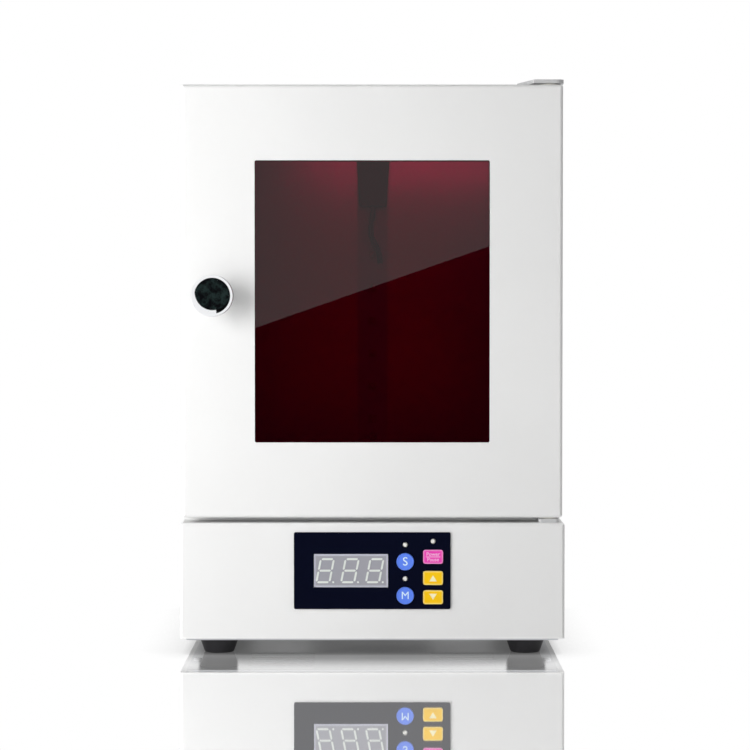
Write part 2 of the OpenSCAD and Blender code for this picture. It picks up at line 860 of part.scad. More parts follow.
// Four tapered rubber feet, bored for their screws from below
module feet() {
  color([0.07, 0.07, 0.07])
    for (p = foot_spots)
      translate([p[0], p[1], 0])
        difference() {
          rotate_extrude()
            foot_profile();
          translate([0, 0, -eps])
            cylinder(d = foot_recess_d, h = foot_recess_h + eps);
          translate([0, 0, foot_recess_h - eps])
            cylinder(d = m4_pan[0] + 2 * seat_gap, h = foot_h);
        }
}

// Screws through the feet, with their nuts on the bottom plate
module foot_screws() {
  color("silver")
    for (p = foot_spots)
      translate([p[0], p[1], 0]) {
        translate([0, 0, foot_recess_h])
          mirror([0, 0, 1])
            pan_screw(m4_pan, z_base0 + foot_nut_h + 1 - foot_recess_h);
        translate([0, 0, z_base0])
          difference() {
            cylinder(d = foot_nut_d, h = foot_nut_h, $fn = 6);
            translate([0, 0, -eps])
              cylinder(d = m4_pan[0] + 2 * seat_gap, h = foot_nut_h + 2 * eps);
          }
      }
}

// Cabinet wrap: one sheet folded over the sides and the top, with returns at both ends and below
module cabinet_wrap() {
  h = z_top - z_base1;
  lap = sheet_t / 2;
  color("whitesmoke")
    difference() {
      union() {
        translate([0, 0, z_base1])
          along_y(y_frame_in, y_rear_in)
            difference() {
              arch_rect(body_w, h, wrap_r);
              translate([0, -eps])
                arch_rect(wrap_in_w, h - sheet_t + eps, wrap_r - sheet_t);
            }
        for (y = [y_frame_in, y_rear_in - sheet_t])
          translate([0, 0, z_base1])
            along_y(y, y + sheet_t)
              difference() {
                arch_rect(body_w - 2 * lap, h - lap, wrap_r - lap);
                translate([0, -eps])
                  rect_up(wrap_in_w - 2 * return_w, h - sheet_t - return_w + eps);
              }
        for (sx = [-1, 1])
          translate([sx * (wrap_in_w + lap - return_w) / 2, (y_frame_in + y_rear_in) / 2,
            z_base1 + sheet_t / 2])
            cube([return_w + lap, y_rear_in - y_frame_in, sheet_t], center = true);
      }
      for (p = rear_screw_spots)
        point_y(p[0], y_rear_in, p[1], -1)
          shank_hole(m3_pan, 2 * sheet_t);
      for (p = frame_screw_spots)
        point_y(p[0], y_frame, p[1], 1)
          flat_hole(m3_flat, frame_t + 2 * sheet_t);
      for (p = wrap_screw_spots)
        translate([p[0], p[1], z_base1 + sheet_t])
          shank_hole(m3_pan, 2 * sheet_t);
      for (p = hinge_top_screw_spots)
        translate([p[0], p[1], z_top])
          shank_hole(m4_flat, 2 * sheet_t);
      for (z = magnet_heights)
        rod_y(x_catch, z, y_frame - eps, y_frame_in + 2 * sheet_t, magnet_d + 2 * seat_gap);
    }
}

// Front frame round the chamber mouth, with a lip folded inwards
module front_frame() {
  color("whitesmoke")
    difference() {
      union() {
        translate([0, 0, z_base1])
          along_y(y_frame, y_frame_in)
            arch_rect(body_w, z_top - z_base1, wrap_r);
        translate([0, 0, z_mouth_mid])
          along_y(y_frame, y_frame + mouth_lip)
            rounded_rect(liner_in_w, z_mouth1 - z_mouth0 + 2 * frame_t, mouth_r + frame_t);
      }
      translate([0, 0, z_mouth_mid])
        along_y(y_frame - eps, y_frame + mouth_lip + eps)
          rounded_rect(mouth_w, z_mouth1 - z_mouth0, mouth_r);
      for (p = frame_screw_spots)
        point_y(p[0], y_frame, p[1], 1)
          flat_hole(m3_flat, frame_t + 2 * sheet_t);
      for (z = magnet_heights)
        rod_y(x_catch, z, y_frame - eps, y_frame_in + eps, magnet_d + 2 * seat_gap);
    }
}

// Rear panel over both the base and the cabinet, cut for the fan, the inlet, the switch and the vents
module rear_panel() {
  color("whitesmoke")
    difference() {
      along_y(y_rear_in, y_rear)
        union() {
          translate([0, z_base0])
            arch_rect(base_w, z_base1 - z_base0, bend_r);
          translate([0, z_base1 - bend_r])
            arch_rect(body_w, z_top - z_base1 + bend_r, wrap_r);
        }
      rod_y(0, z_fan, y_rear_in - eps, y_rear + eps, fan_bore_d);
      for (p = concat(fan_screw_spots, rear_screw_spots, [for (x = inlet_screw_xs) [x, z_inlet]]))
        point_y(p[0], y_rear, p[1], -1)
          shank_hole(m3_pan, rear_t + eps);
      translate([inlet_x, 0, z_inlet])
        along_y(y_rear_in - eps, y_rear + eps)
          square([inlet_body_w + 2 * slide_gap, inlet_body_h + 2 * slide_gap], center = true);
      translate([switch_x, 0, z_inlet])
        along_y(y_rear_in - eps, y_rear + eps)
          square([switch_body_w + 2 * slide_gap, switch_body_h + 2 * slide_gap], center = true);
      translate([-base_w / 4, 0, z_inlet])
        vent_slots(7, base_vent_l, 2 * slot_w);
      translate([0, 0, z_base1 + vent_rise])
        vent_slots(5, body_vent_l, 2.6 * slot_w);
    }
}

// Column of n horizontal slots through the rear panel, l long and the given pitch apart
module vent_slots(n, l, pitch) {
  for (i = [0 : n - 1])
    translate([0, 0, (i - (n - 1) / 2) * pitch])
      along_y(y_rear_in - eps, y_rear + eps)
        rounded_rect(l, slot_w, slot_r);
}

// Screws of the rear panel, the bottom plate and the inlet
module panel_screws() {
  color("silver") {
    for (p = rear_screw_spots)
      point_y(p[0], y_rear, p[1], -1)
        pan_screw(m3_pan, rear_t + sheet_t + thread_l);
    for (p = bottom_screw_spots)
      translate([p[0], p[1], foot_h])
        mirror([0, 0, 1])
          pan_screw(m3_pan, bottom_t + sheet_t + thread_l);
    for (x = inlet_screw_xs)
      point_y(x, y_inlet1, z_inlet, -1)
        flat_screw(m3_flat, inlet_flange_t + rear_t + thread_l);
  }
}

// Chamber floor: a mirror-finished tray upside down on the base, with folded rims
module chamber_floor() {
  w = liner_in_w - 2 * slide_gap;
  y0 = y_frame_in + slide_gap;
  y1 = y_liner_in - slide_gap;
  color([0.82, 0.84, 0.86])
    difference() {
      box([-w / 2, y0, z_base1], [w / 2, y1, z_floor]);
      box([-w / 2 + liner_t, y0 + liner_t, z_base1 - eps],
        [w / 2 - liner_t, y1 - liner_t, z_floor - liner_t]);
      translate([0, y_table, z_base1])
        cylinder(d = shaft_bush_d + 2 * seat_gap, h = floor_rim + liner_t + eps);
    }
}

// Chamber lining: both side walls and the back wall folded from one mirror-finished sheet
module liner_wrap() {
  color([0.82, 0.84, 0.86])
    difference() {
      translate([0, y_frame_in, z_base1])
        linear_extrude(z_roof - z_base1)
          difference() {
            arch_rect(liner_out_w, y_liner_out - y_frame_in, liner_bend_r);
            translate([0, -eps])
              arch_rect(liner_in_w, y_liner_in - y_frame_in + eps, liner_bend_r - liner_t);
          }
      for (side = [0 : 2], s = [-1, 1])
        on_wall(side)
          translate([0, s * (board_l / 2 - board_screw_in), 0])
            shank_hole(m3_pan, liner_t + eps);
    }
}

// Chamber roof, with flanges turned up along its sides
module liner_roof() {
  color([0.82, 0.84, 0.86])
    difference() {
      union() {
        box([-liner_out_w / 2, y_frame_in, z_roof], [liner_out_w / 2, y_liner_out, z_roof + liner_t]);
        for (sx = [-1, 1])
          translate([sx * (liner_out_w - liner_t) / 2, (y_frame_in + y_liner_out) / 2,
            z_roof + roof_flange_h / 2])
            cube([liner_t, y_liner_out - y_frame_in, roof_flange_h], center = true);
      }
      for (s = [-1, 1])
        on_wall(3)
          translate([0, s * (roof_board_l / 2 - board_screw_in), 0])
            shank_hole(m3_pan, liner_t + eps);
    }
}

// Places a shape on a chamber wall's inner face: +Z points into the chamber and +Y along the board.
// Side 0 is the left wall, 1 the right wall, 2 the back wall and 3 the roof.
module on_wall(side) {
  if (side == 0)
    translate([-liner_in_w / 2, y_table, z_lamps])
      rotate([90, 0, 90])
        children();
  if (side == 1)
    translate([liner_in_w / 2, y_table, z_lamps])
      rotate([90, 0, -90])
        children();
  if (side == 2)
    translate([0, y_liner_in, z_lamps])
      rotate([90, 0, 0])
        children();
  if (side == 3)
    translate([0, y_table, z_roof])
      rotate([0, 180, 90])
        children();
}

// Length of the lamp board on each side
function lamp_length(side) = side == 3 ? roof_board_l : board_l;

// Places of the emitters along a board of length l
function emitter_places(l) =
  let (n = floor((l - 4 * board_screw_in) / emitter_pitch) + 1)
  [for (i = [0 : n - 1]) (i - (n - 1) / 2) * emitter_pitch];

// Four lamp boards, one on each wall and one on the roof
module lamp_boards() {
  color([0.92, 0.93, 0.9])
    for (side = [0 : 3])
      on_wall(side)
        difference() {
          translate([0, 0, board_t / 2])
            cube([board_w, lamp_length(side), board_t], center = true);
          for (s = [-1, 1])
            translate([0, s * (lamp_length(side) / 2 - board_screw_in), board_t])
              shank_hole(m3_pan, board_t + eps);
        }
}

// Emitters in a row on each board
module lamp_emitters() {
  color([0.75, 0.7, 0.45])
    for (side = [0 : 3], p = emitter_places(lamp_length(side)))
      on_wall(side)
        translate([0, p, board_t]) {
          translate([-emitter_s / 2, -emitter_s / 2, 0])
            cube([emitter_s, emitter_s, emitter_base_t]);
          translate([0, 0, emitter_base_t / 2])
            cylinder(d = emitter_s * 0.84, h = emitter_base_t / 2 + emitter_lens_t / 3);
          translate([0, 0, emitter_base_t + emitter_lens_t / 3])
            cylinder(d1 = emitter_s * 0.84, d2 = emitter_s * 0.4, h = emitter_lens_t * 2 / 3);
        }
}

// Finned heat sinks on the outside of the lining, behind each lamp board
module heat_sinks() {
  fins = floor((sink_w - fin_t) / fin_pitch);
  lap = 0.5;
  color("darkgray")
    for (side = [0 : 3])
      on_wall(side)
        translate([0, 0, -liner_t])
          difference() {
            union() {
              translate([0, 0, -sink_base_t / 2])
                cube([sink_w, lamp_length(side), sink_base_t], center = true);
              for (i = [0 : fins])
                translate([(i - fins / 2) * fin_pitch, 0, -sink_base_t + (lap - fin_h) / 2])
                  cube([fin_t, lamp_length(side), fin_h + lap], center = true);
            }
            for (s = [-1, 1])
              translate([0, s * (lamp_length(side) / 2 - board_screw_in), 0])
                shank_hole(m3_pan, sink_base_t);
          }
}

// Screws inside the cabinet: front frame, cabinet wrap, lamp boards, motor and its bracket
module inner_screws() {
  color("silver") {
    for (p = frame_screw_spots)
      point_y(p[0], y_frame, p[1], 1)
        flat_screw(m3_flat, frame_t + sheet_t + thread_l);
    for (p = wrap_screw_spots)
      translate([p[0], p[1], z_base1 + sheet_t])
        pan_screw(m3_pan, cover_screw_l);
    for (side = [0 : 3], s = [-1, 1])
      on_wall(side)
        translate([0, s * (lamp_length(side) / 2 - board_screw_in), board_t])
          pan_screw(m3_pan, board_t + liner_t + sink_base_t - slide_gap);
    for (p = bracket_screw_spots)
      translate([p[0], p[1], z_base1])
        pan_screw(m3_pan, cover_screw_l);
    for (sx = [-1, 1])
      translate([sx * motor_ear_span / 2, y_table, z_motor1 + bracket_t])
        pan_screw(m3_pan, cover_screw_l);
  }
}

// Fan frame: square case with a round duct, and a motor base held by four struts
module fan_frame() {
  color([0.1, 0.1, 0.11])
    difference() {
      union() {
        difference() {
          translate([0, 0, z_fan])
            along_y(y_fan0, y_rear_in)
              rounded_rect(fan_s, fan_s, fan_corner_r);
          rod_y(0, z_fan, y_fan0 - eps, y_rear_in + eps, fan_bore_d);
        }
        rod_y(0, z_fan, y_fan0, y_fan0 + fan_base_t, fan_hub_d);
        for (a = [45 : 90 : 315])
          translate([0, y_fan0 + fan_base_t / 2, z_fan])
            rotate([0, a, 0])
              translate([fan_bore_d / 4 + fan_hub_d / 8, 0, 0])
                cube([fan_bore_d / 2, fan_base_t, fan_strut_w], center = true);
        rod_y(0, z_fan, y_fan0, y_fan0 + fan_base_t + fan_bearing_l, 2 * fan_shaft_d);
      }
      rod_y(0, z_fan, y_fan0 + fan_shaft_inset, y_fan0 + fan_base_t + fan_bearing_l + eps,
        fan_shaft_d + 2 * run_gap);
      for (p = fan_screw_spots)
        rod_y(p[0], p[1], y_fan0 - eps, y_rear_in + eps, m3_pan[0] + 2 * seat_gap);
    }
}

// Fan rotor: hub cup, shaft and pitched blades
module fan_rotor() {
  blade_r = fan_bore_d / 2 - fan_tip_gap;
  color([0.14, 0.14, 0.15]) {
    difference() {
      rod_y(0, z_fan, y_rotor0, y_rotor1, fan_hub_d);
      rod_y(0, z_fan, y_rotor0 - eps, y_rotor1 - fan_web_t, fan_hub_d - 2 * fan_web_t);
    }
    rod_y(0, z_fan, y_fan0 + fan_shaft_inset + fan_run_gap, y_rotor1 - fan_web_t / 2, fan_shaft_d);
    intersection() {
      difference() {
        rod_y(0, z_fan, y_rotor0, y_rotor1, 2 * blade_r);
        rod_y(0, z_fan, y_rotor0 - eps, y_rotor1 + eps, fan_hub_d - fan_web_t);
      }
      for (i = [0 : fan_blades - 1])
        translate([0, (y_rotor0 + y_rotor1) / 2, z_fan])
          rotate([0, i * 360 / fan_blades, 0])
            rotate([fan_blade_pitch, 0, 0])
              translate([blade_r / 2, 0, 0])
                cube([blade_r + 2 * eps, fan_blade_t, fan_hub_d / 2], center = true);
    }
  }
}

// Wire finger guard: rings welded on four spokes that end in flat eyes
module fan_guard() {
  y_spoke = y_rear + guard_lift + guard_wire_r;
  y_ring = y_spoke + 1.2 * guard_wire_r;
  spoke0 = fan_hub_d / 4;
  reach = fan_hole_span * sqrt(2) / 2 - m3_pan[1] / 2 - slide_gap;
  color("silver")
    difference() {
      union() {
        for (i = [0 : 3])
          translate([0, y_ring, z_fan])
            rotate([90, 0, 0])
              rotate_extrude()
                translate([fan_bore_d / 2 - guard_rim - guard_pitch * i, 0])
                  circle(guard_wire_r, $fn = 24);
        for (a = [45 : 90 : 315])
          translate([0, y_spoke, z_fan])
            rotate([0, a, 0])
              translate([spoke0, 0, 0])
                rotate([0, 90, 0])
                  cylinder(r = guard_wire_r, h = reach - spoke0, $fn = 24);
        for (p = fan_screw_spots)
          rod_y(p[0], p[1], y_rear, y_rear + guard_eye_t, guard_eye_d);
      }
      for (p = fan_screw_spots)
        rod_y(p[0], p[1], y_rear - eps, y_rear + 3 * guard_eye_t, m3_pan[0] + 2 * seat_gap);
    }
}

// Screws through the guard, the rear panel and the fan
module fan_screws() {
  color("silver")
    for (p = fan_screw_spots)
      point_y(p[0], y_rear + guard_eye_t, p[1], -1)
        pan_screw(m3_pan, guard_eye_t + rear_t + fan_t + thread_l);
}

// Turntable motor: flat geared motor with two ears and a bored boss on top
module turntable_motor() {
  color([0.7, 0.7, 0.72])
    difference() {
      union() {
        translate([0, y_table, z_motor1 - motor_h])
          cylinder(d = motor_d, h = motor_h);
        translate([0, y_table, z_motor1 - eps])
          cylinder(d = motor_boss_d, h = bracket_t + eps);
        translate([0, y_table, z_motor1 - motor_ear_t])
          linear_extrude(motor_ear_t)
            rounded_rect(motor_ear_span + motor_ear_w, motor_ear_w, motor_ear_w / 2 - 0.1);
      }
      translate([0, y_table, z_motor1 - motor_bore_l])
        cylinder(d = shaft_d + 2 * run_gap, h = motor_bore_l + bracket_t + eps);
      for (sx = [-1, 1])
        translate([sx * motor_ear_span / 2, y_table, z_motor1])
          shank_hole(m3_pan, motor_ear_t + eps);
    }
}

// Motor bracket: a folded hat section under the base's top
module motor_bracket() {
  color([0.75, 0.75, 0.77])
    difference() {
      union() {
        box([-bracket_l / 2, y_table - bracket_w / 2, z_motor1],
          [bracket_l / 2, y_table + bracket_w / 2, z_motor1 + bracket_t]);
        for (sx = [-1, 1]) {
          translate([sx * (bracket_l - bracket_t) / 2, y_table, (z_motor1 + z_bracket1) / 2])
            cube([bracket_t, bracket_w, z_bracket1 - z_motor1], center = true);
          translate([sx * (bracket_l + bracket_flange - bracket_t) / 2, y_table,
            z_bracket1 - bracket_t / 2])
            cube([bracket_flange + bracket_t, bracket_w, bracket_t], center = true);
        }
      }
      translate([0, y_table, z_motor1 - eps])
        cylinder(d = motor_boss_d + 2 * seat_gap, h = bracket_t + 2 * eps);
      for (sx = [-1, 1])
        translate([sx * motor_ear_span / 2, y_table, z_motor1 + bracket_t])
          shank_hole(m3_pan, bracket_t + eps);
      for (p = bracket_screw_spots)
        translate([p[0], p[1], z_bracket1])
          shank_hole(m3_pan, bracket_t + eps);
    }
}

// Output shaft, from inside the motor up into the hub
module motor_shaft() {
  z0 = z_motor1 - motor_bore_l + slide_gap;
  color("silver")
    translate([0, y_table, z0])
      cylinder(d = shaft_d, h = z_table0 + hub_bore_l - slide_gap - z0);
}

// Flanged bush that guides the shaft through the base's top and the chamber floor
module shaft_bush() {
  color([0.93, 0.92, 0.88])
    translate([0, y_table, 0])
      difference() {
        union() {
          translate([0, 0, z_shaft_bush0])
            cylinder(d = shaft_bush_d, h = z_floor + shaft_bush_flange_t - z_shaft_bush0);
          translate([0, 0, z_floor])
            cylinder(d = shaft_bush_flange_d, h = shaft_bush_flange_t);
        }
        translate([0, 0, z_shaft_bush0 - eps])
          cylinder(d = shaft_d + 2 * run_gap, h = z_floor + shaft_bush_flange_t - z_shaft_bush0 + 2 * eps);
      }
}

// Drive hub: a boss on the shaft, a flange under the turntable, a spigot and two drive pegs
module drive_hub() {
  color([0.15, 0.15, 0.16])
    translate([0, y_table, 0])
      difference() {
        union() {
          translate([0, 0, z_hub0])
            cylinder(d = hub_boss_d, h = z_table0 - z_hub0);
          translate([0, 0, z_table0 - hub_flange_t])
            cylinder(d = hub_flange_d, h = hub_flange_t);
          translate([0, 0, z_table0 - eps])
            cylinder(d = hub_spigot_d, h = table_t + eps);
          for (sx = [-1, 1])
            translate([sx * hub_peg_r, 0, z_table0 - eps])
              cylinder(d = hub_peg_d, h = table_web + eps);
        }
        translate([0, 0, z_hub0 - eps])
          cylinder(d = shaft_d + 2 * seat_gap, h = z_table0 + hub_bore_l - z_hub0 + eps);
      }
}

// Turntable: mirror-finished plate with a raised edge, resting on the hub
module turntable() {
  color([0.85, 0.87, 0.89])
    translate([0, y_table, z_table0])
      difference() {
        rotate_extrude($fn = 128)
          union() {
            square([table_d / 2 - table_edge_r, table_t]);
            translate([0, table_edge_r])
              square([table_d / 2, table_t - 2 * table_edge_r]);
            for (z = [table_edge_r, table_t - table_edge_r])
              translate([table_d / 2 - table_edge_r, z])
                circle(table_edge_r);
          }
        translate([0, 0, table_web])
          cylinder(d1 = table_d - 2 * table_edge_w - 1, d2 = table_d - 2 * table_edge_w, h = table_t,
            $fn = 128);
        translate([0, 0, -eps])
          cylinder(d = hub_spigot_d + 2 * seat_gap, h = table_t + 2 * eps);
        for (sx = [-1, 1])
          translate([sx * hub_peg_r, 0, -eps])
            cylinder(d = hub_peg_d + 2 * seat_gap, h = table_t + 2 * eps);
      }
}

// Power supply case: slotted steel, open at the end where the terminals are
module supply_case() {
  rows = floor((supply_l - supply_recess) / supply_slot_pitch) - 2;
  color([0.74, 0.75, 0.76])
    translate([supply_x0, supply_y0, z_base0])
      difference() {
        cube([supply_w, supply_l, supply_h]);
        translate([supply_wall, -eps, supply_wall])
          cube([supply_w - 2 * supply_wall, supply_l - supply_wall + eps, supply_h - 2 * supply_wall]);
        translate([-eps, -eps, terminal_h])
          cube([supply_w + 2 * eps, supply_recess + eps, supply_h]);
        for (i = [1 : rows], sx = [-1, 1])
          translate([supply_w * (0.5 + sx * 0.22), supply_recess + i * supply_slot_pitch,
            supply_h - 2 * supply_wall])
            linear_extrude(3 * supply_wall)
              rounded_rect(supply_slot_l, slot_w, slot_r);
      }
}

// Power supply board with its transformer, capacitors and heat spreader
module supply_board() {
  w = supply_w - 2 * supply_wall - 2 * supply_gap_in;
  l = supply_l - supply_wall - supply_gap_in;
  part_z = supply_board_lift + supply_board_t - eps;
  color([0.3, 0.42, 0.25])
    translate([supply_x0 + supply_wall + supply_gap_in, supply_y0 + supply_gap_in / 2,
      z_base0 + supply_wall]) {
      translate([0, 0, supply_board_lift])
        cube([w, l, supply_board_t]);
      for (x = [supply_post_d, w - supply_post_d], y = [supply_post_d, l - supply_post_d])
        translate([x, y, 0])
          cylinder(d = supply_post_d, h = supply_board_lift + eps);
      translate([w * 0.35, l * 0.42, part_z])
        cube(transformer);
      for (i = [0 : 1])
        translate([w * 0.2, l * (0.5 + 0.16 * i), part_z])
          cylinder(d = capacitor_d, h = capacitor_h);
      for (i = [0 : 2])
        translate([w * (0.3 + 0.2 * i), l * 0.84, part_z])
          cylinder(d = filter_d, h = filter_h);
      translate([w * 0.86, l * 0.3, part_z])
        cube([spreader_t, l * 0.55, spreader_h]);
    }
}

// Terminal block at the open end of the power supply
module supply_terminals() {
  w = terminal_poles * terminal_pitch;
  z0 = z_base0 + supply_wall + supply_board_lift + supply_board_t;
  color([0.12, 0.12, 0.12])
    translate([supply_x0 + supply_w / 2, supply_y0 + supply_gap_in / 2 + eps, z0])
      difference() {
        translate([-w / 2, 0, 0])
          cube([w, terminal_l, terminal_h]);
        for (i = [0.5 : terminal_poles])
          translate([i * terminal_pitch - (w + terminal_w) / 2, -eps, terminal_h / 2])
            cube([terminal_w, terminal_l - supply_gap_in + eps, terminal_h]);
      }
}

// Outline of the inlet's cavity, with its two upper corners cut off
module inlet_outline(w, h, cut) {
  polygon([
    [-w / 2, -h / 2], [w / 2, -h / 2], [w / 2, h / 2 - cut], [w / 2 - cut, h / 2],
    [-w / 2 + cut, h / 2], [-w / 2, h / 2 - cut]
  ]);
}

// Three-pole appliance inlet with screw ears
module inlet_socket() {
  y0 = y_inlet0 + inlet_tab_l;
  color([0.06, 0.06, 0.06])
    translate([inlet_x, 0, z_inlet])
      difference() {
        union() {
          along_y(y_rear, y_inlet1)
            union() {
              square([inlet_body_w + 2, inlet_body_h + 3], center = true);
              rounded_rect(inlet_ear_span + inlet_ear_h, inlet_ear_h, inlet_ear_h / 2 - 0.1);
            }
          along_y(y0, y_rear + eps)
            square([inlet_body_w, inlet_body_h], center = true);
        }
        along_y(y_inlet1 - inlet_cavity_l, y_inlet1 + eps)
          inlet_outline(inlet_cavity_w, inlet_cavity_h, 4);
        for (p = inlet_pin_spots)
          translate([p[0], 0, p[1]])
            along_y(y0 - eps, y_inlet1)
              square([inlet_pin_w + 2 * seat_gap, inlet_pin_h + 2 * seat_gap], center = true);
        for (sx = [-1, 1])
          point_y(sx * inlet_ear_span / 2, y_inlet1, 0, -1)
            flat_hole(m3_flat, inlet_flange_t + eps);
      }
}

// Three blades of the inlet, standing in the cavity and reaching behind it as tabs
module inlet_pins() {
  color("silver")
    translate([inlet_x, 0, z_inlet])
      for (p = inlet_pin_spots)
        translate([p[0], 0, p[1]])
          along_y(y_inlet0, y_inlet1 - inlet_pin_w)
            square([inlet_pin_w, inlet_pin_h], center = true);
}

// Body of the rocker switch: a bezel, a well for the rocker and three tabs behind
module switch_body() {
  y0 = y_rear - switch_body_l;
  well_w = rocker_w + 2 * slide_gap;
  well_h = 2 * rocker_r + 4 * slide_gap;
  pin_reach = rocker_w / 2 + rocker_pin_l + slide_gap / 2;
  color([0.06, 0.06, 0.06])
    translate([switch_x, 0, z_inlet])
      difference() {
        union() {
          along_y(y_rear, y_rear + switch_bezel_t)
            rounded_rect(switch_bezel_w, switch_bezel_h, 1);
          along_y(y0, y_rear + eps)
            square([switch_body_w, switch_body_h], center = true);
          for (z = [-switch_tab_pitch, 0, switch_tab_pitch])
            translate([-switch_tab[0] / 2, y0 - switch_tab[1], z - switch_tab[2] / 2])
              cube([switch_tab[0], switch_tab[1] + eps, switch_tab[2]]);
        }
        along_y(y_rocker - switch_well_l, y_rear + switch_bezel_t + eps)
          square([well_w, well_h], center = true);
        along_x(-pin_reach, pin_reach)
          translate([y_rocker, 0])
            circle(d = rocker_pin_d + 2 * run_gap);
      }
}

// Rocker of the switch, in its off position, with two trunnions
module rocker() {
  end = rocker_r + 1;
  color([0.1, 0.1, 0.1])
    translate([switch_x, y_rocker, z_inlet])
      rotate([rocker_tilt, 0, 0]) {
        along_x(-rocker_w / 2, rocker_w / 2)
          intersection() {
            circle(rocker_r);
            polygon([
              [-2.2, -3], [-2.2, 3], [rocker_face - 1, end], [rocker_face, end],
              [rocker_face - rocker_dip, 0], [rocker_face, -end], [rocker_face - 1, -end]
            ]);
          }
        along_x(-rocker_w / 2 - rocker_pin_l, rocker_w / 2 + rocker_pin_l)
          circle(d = rocker_pin_d);
      }
}

// Black fascia on the base's front, cut for the display, keys and lamps
module control_fascia() {
  color([0.06, 0.07, 0.12])
    difference() {
      translate([0, 0, z_fascia])
        along_y(y_fascia, y_front)
          rounded_rect(fascia_w, fascia_h, fascia_r);
      fascia_openings(y_fascia - eps, y_front + eps, slide_gap);
    }
}

// Three-digit display module
module display_module() {
  color([0.66, 0.67, 0.69])
    translate([-display_x, 0, z_fascia])
      along_y(y_fascia + display_recess, y_board)
        square([display_w, display_h], center = true);
}

// Leans a point of a digit to the right
function lean(x, z) = [x + z * tan(digit_lean), z];

// One bar of a digit, l long, centred at x and z, upright or lying
module segment(x, z, l, upright) {
  half = l / 2 - segment_gap;
  s = segment_w / 2;
  outline = [[-half, 0], [-half + s, s], [half - s, s], [half, 0], [half - s, -s], [-half + s, -s]];
  polygon([for (p = outline) upright ? lean(x + p[1], z + p[0]) : lean(x + p[0], z + p[1])]);
}

// One digit's seven bars and its point
module digit() {
  w = digit_w - segment_w;
  h = (digit_h - segment_w) / 2;
  for (z = [-h, 0, h])
    segment(0, z, w, false);
  for (x = [-w / 2, w / 2], z = [-h / 2, h / 2])
    segment(x, z, h, true);
  translate([w / 2 + 0.75 * segment_w, -h])
    circle(d = segment_w);
}

// Pale bars of the three digits, on the display's face
module display_segments() {
  color([0.75, 0.76, 0.74])
    translate([-display_x - segment_w / 2, 0, z_fascia])
      for (i = [-1 : 1])
        translate([i * digit_pitch, 0, 0])
          along_y(y_fascia + display_recess - segment_t, y_fascia + display_recess)
            digit();
}

// Indicator lamps on the control board
module indicator_lamps() {
  color([0.9, 0.9, 0.9])
    for (p = lamp_spots) {
      rod_y(p[0], p[1], y_board - lamp_collar, y_board, lamp_d + 2 * lamp_collar_w);
      rod_y(p[0], p[1], y_fascia + lamp_dome, y_board - lamp_collar / 2, lamp_d);
      translate([p[0], y_fascia + lamp_dome, p[1]])
        rotate([90, 0, 0])
          cylinder(d1 = lamp_d, d2 = lamp_d * 0.6, h = lamp_dome);
    }
}

// Control board behind the base's front
module control_board() {
  color([0.1, 0.35, 0.18])
    difference() {
      translate([0, 0, z_fascia])
        along_y(y_board, y_board + control_board_t)
          rounded_rect(fascia_w + 2 * control_board_side, fascia_h - 2, control_board_r);
      for (p = standoff_spots)
        point_y(p[0], y_board, p[1], 1)
          shank_hole(m3_pan, control_board_t + eps);
    }
}

// Stand-offs between the base's front and the control board, with studs through the board
module board_standoffs() {
  color("goldenrod")
    for (p = standoff_spots) {
      rod_y(p[0], p[1], y_front + sheet_t, y_board, standoff_d);
      rod_y(p[0], p[1], y_board - eps, y_board + control_board_t + stud_l, m3_pan[0]);
    }
}

// Push switches on the control board, one behind each key
module key_switches() {
  color([0.2, 0.2, 0.2])
    for (p = key_spots) {
      translate([p[0], 0, p[1]])
        along_y(y_board - tact_h, y_board)
          square([tact_s, tact_s], center = true);
      rod_y(p[0], p[1], y_board - tact_h - tact_plunger_h, y_board - tact_h + eps, tact_plunger_d);
    }
}

// Round key with its retaining flange behind the base's front
module round_key(z) {
  rod_y(round_keys_x, z, y_key0 + key_edge, y_key_stop + eps, round_key_d);
  translate([round_keys_x, y_key0 + key_edge, z])
    rotate([90, 0, 0])
      cylinder(d1 = round_key_d, d2 = round_key_d - 2 * key_edge, h = key_edge);
  rod_y(round_keys_x, z, y_key_stop, y_key_back, round_key_d + 2 * key_flange_lap);
}

// Oblong key with its retaining flange behind the base's front
module oblong_key(z) {
  w = oblong_key_w;
  h = oblong_key_h;
  translate([oblong_keys_x, 0, z]) {
    along_y(y_key0 + key_edge, y_key_stop + eps)
      rounded_rect(w, h, oblong_key_r);
    along_y(y_key0, y_key0 + key_edge)
      rounded_rect(w - key_edge, h - key_edge, oblong_key_r - key_edge / 2);
    along_y(y_key_stop, y_key_back)
      rounded_rect(w + 2 * key_flange_lap, h + 2 * key_flange_lap, oblong_key_r);
  }
}

// Upper round key
module key_set() {
  color([0.42, 0.5, 0.9])
    round_key(z_key_set);
}

// Lower round key
module key_mode() {
  color([0.42, 0.5, 0.9])
    round_key(z_key_mode);
}

// Start and pause key
module key_power() {
  color([0.85, 0.33, 0.68])
    oblong_key(z_key_power);
}

// Arrow key that counts up
module key_up() {
  color([0.96, 0.75, 0.05])
    oblong_key(z_key_up);
}

// Arrow key that counts down
module key_down() {
  color([0.96, 0.75, 0.05])
    oblong_key(z_key_down);
}

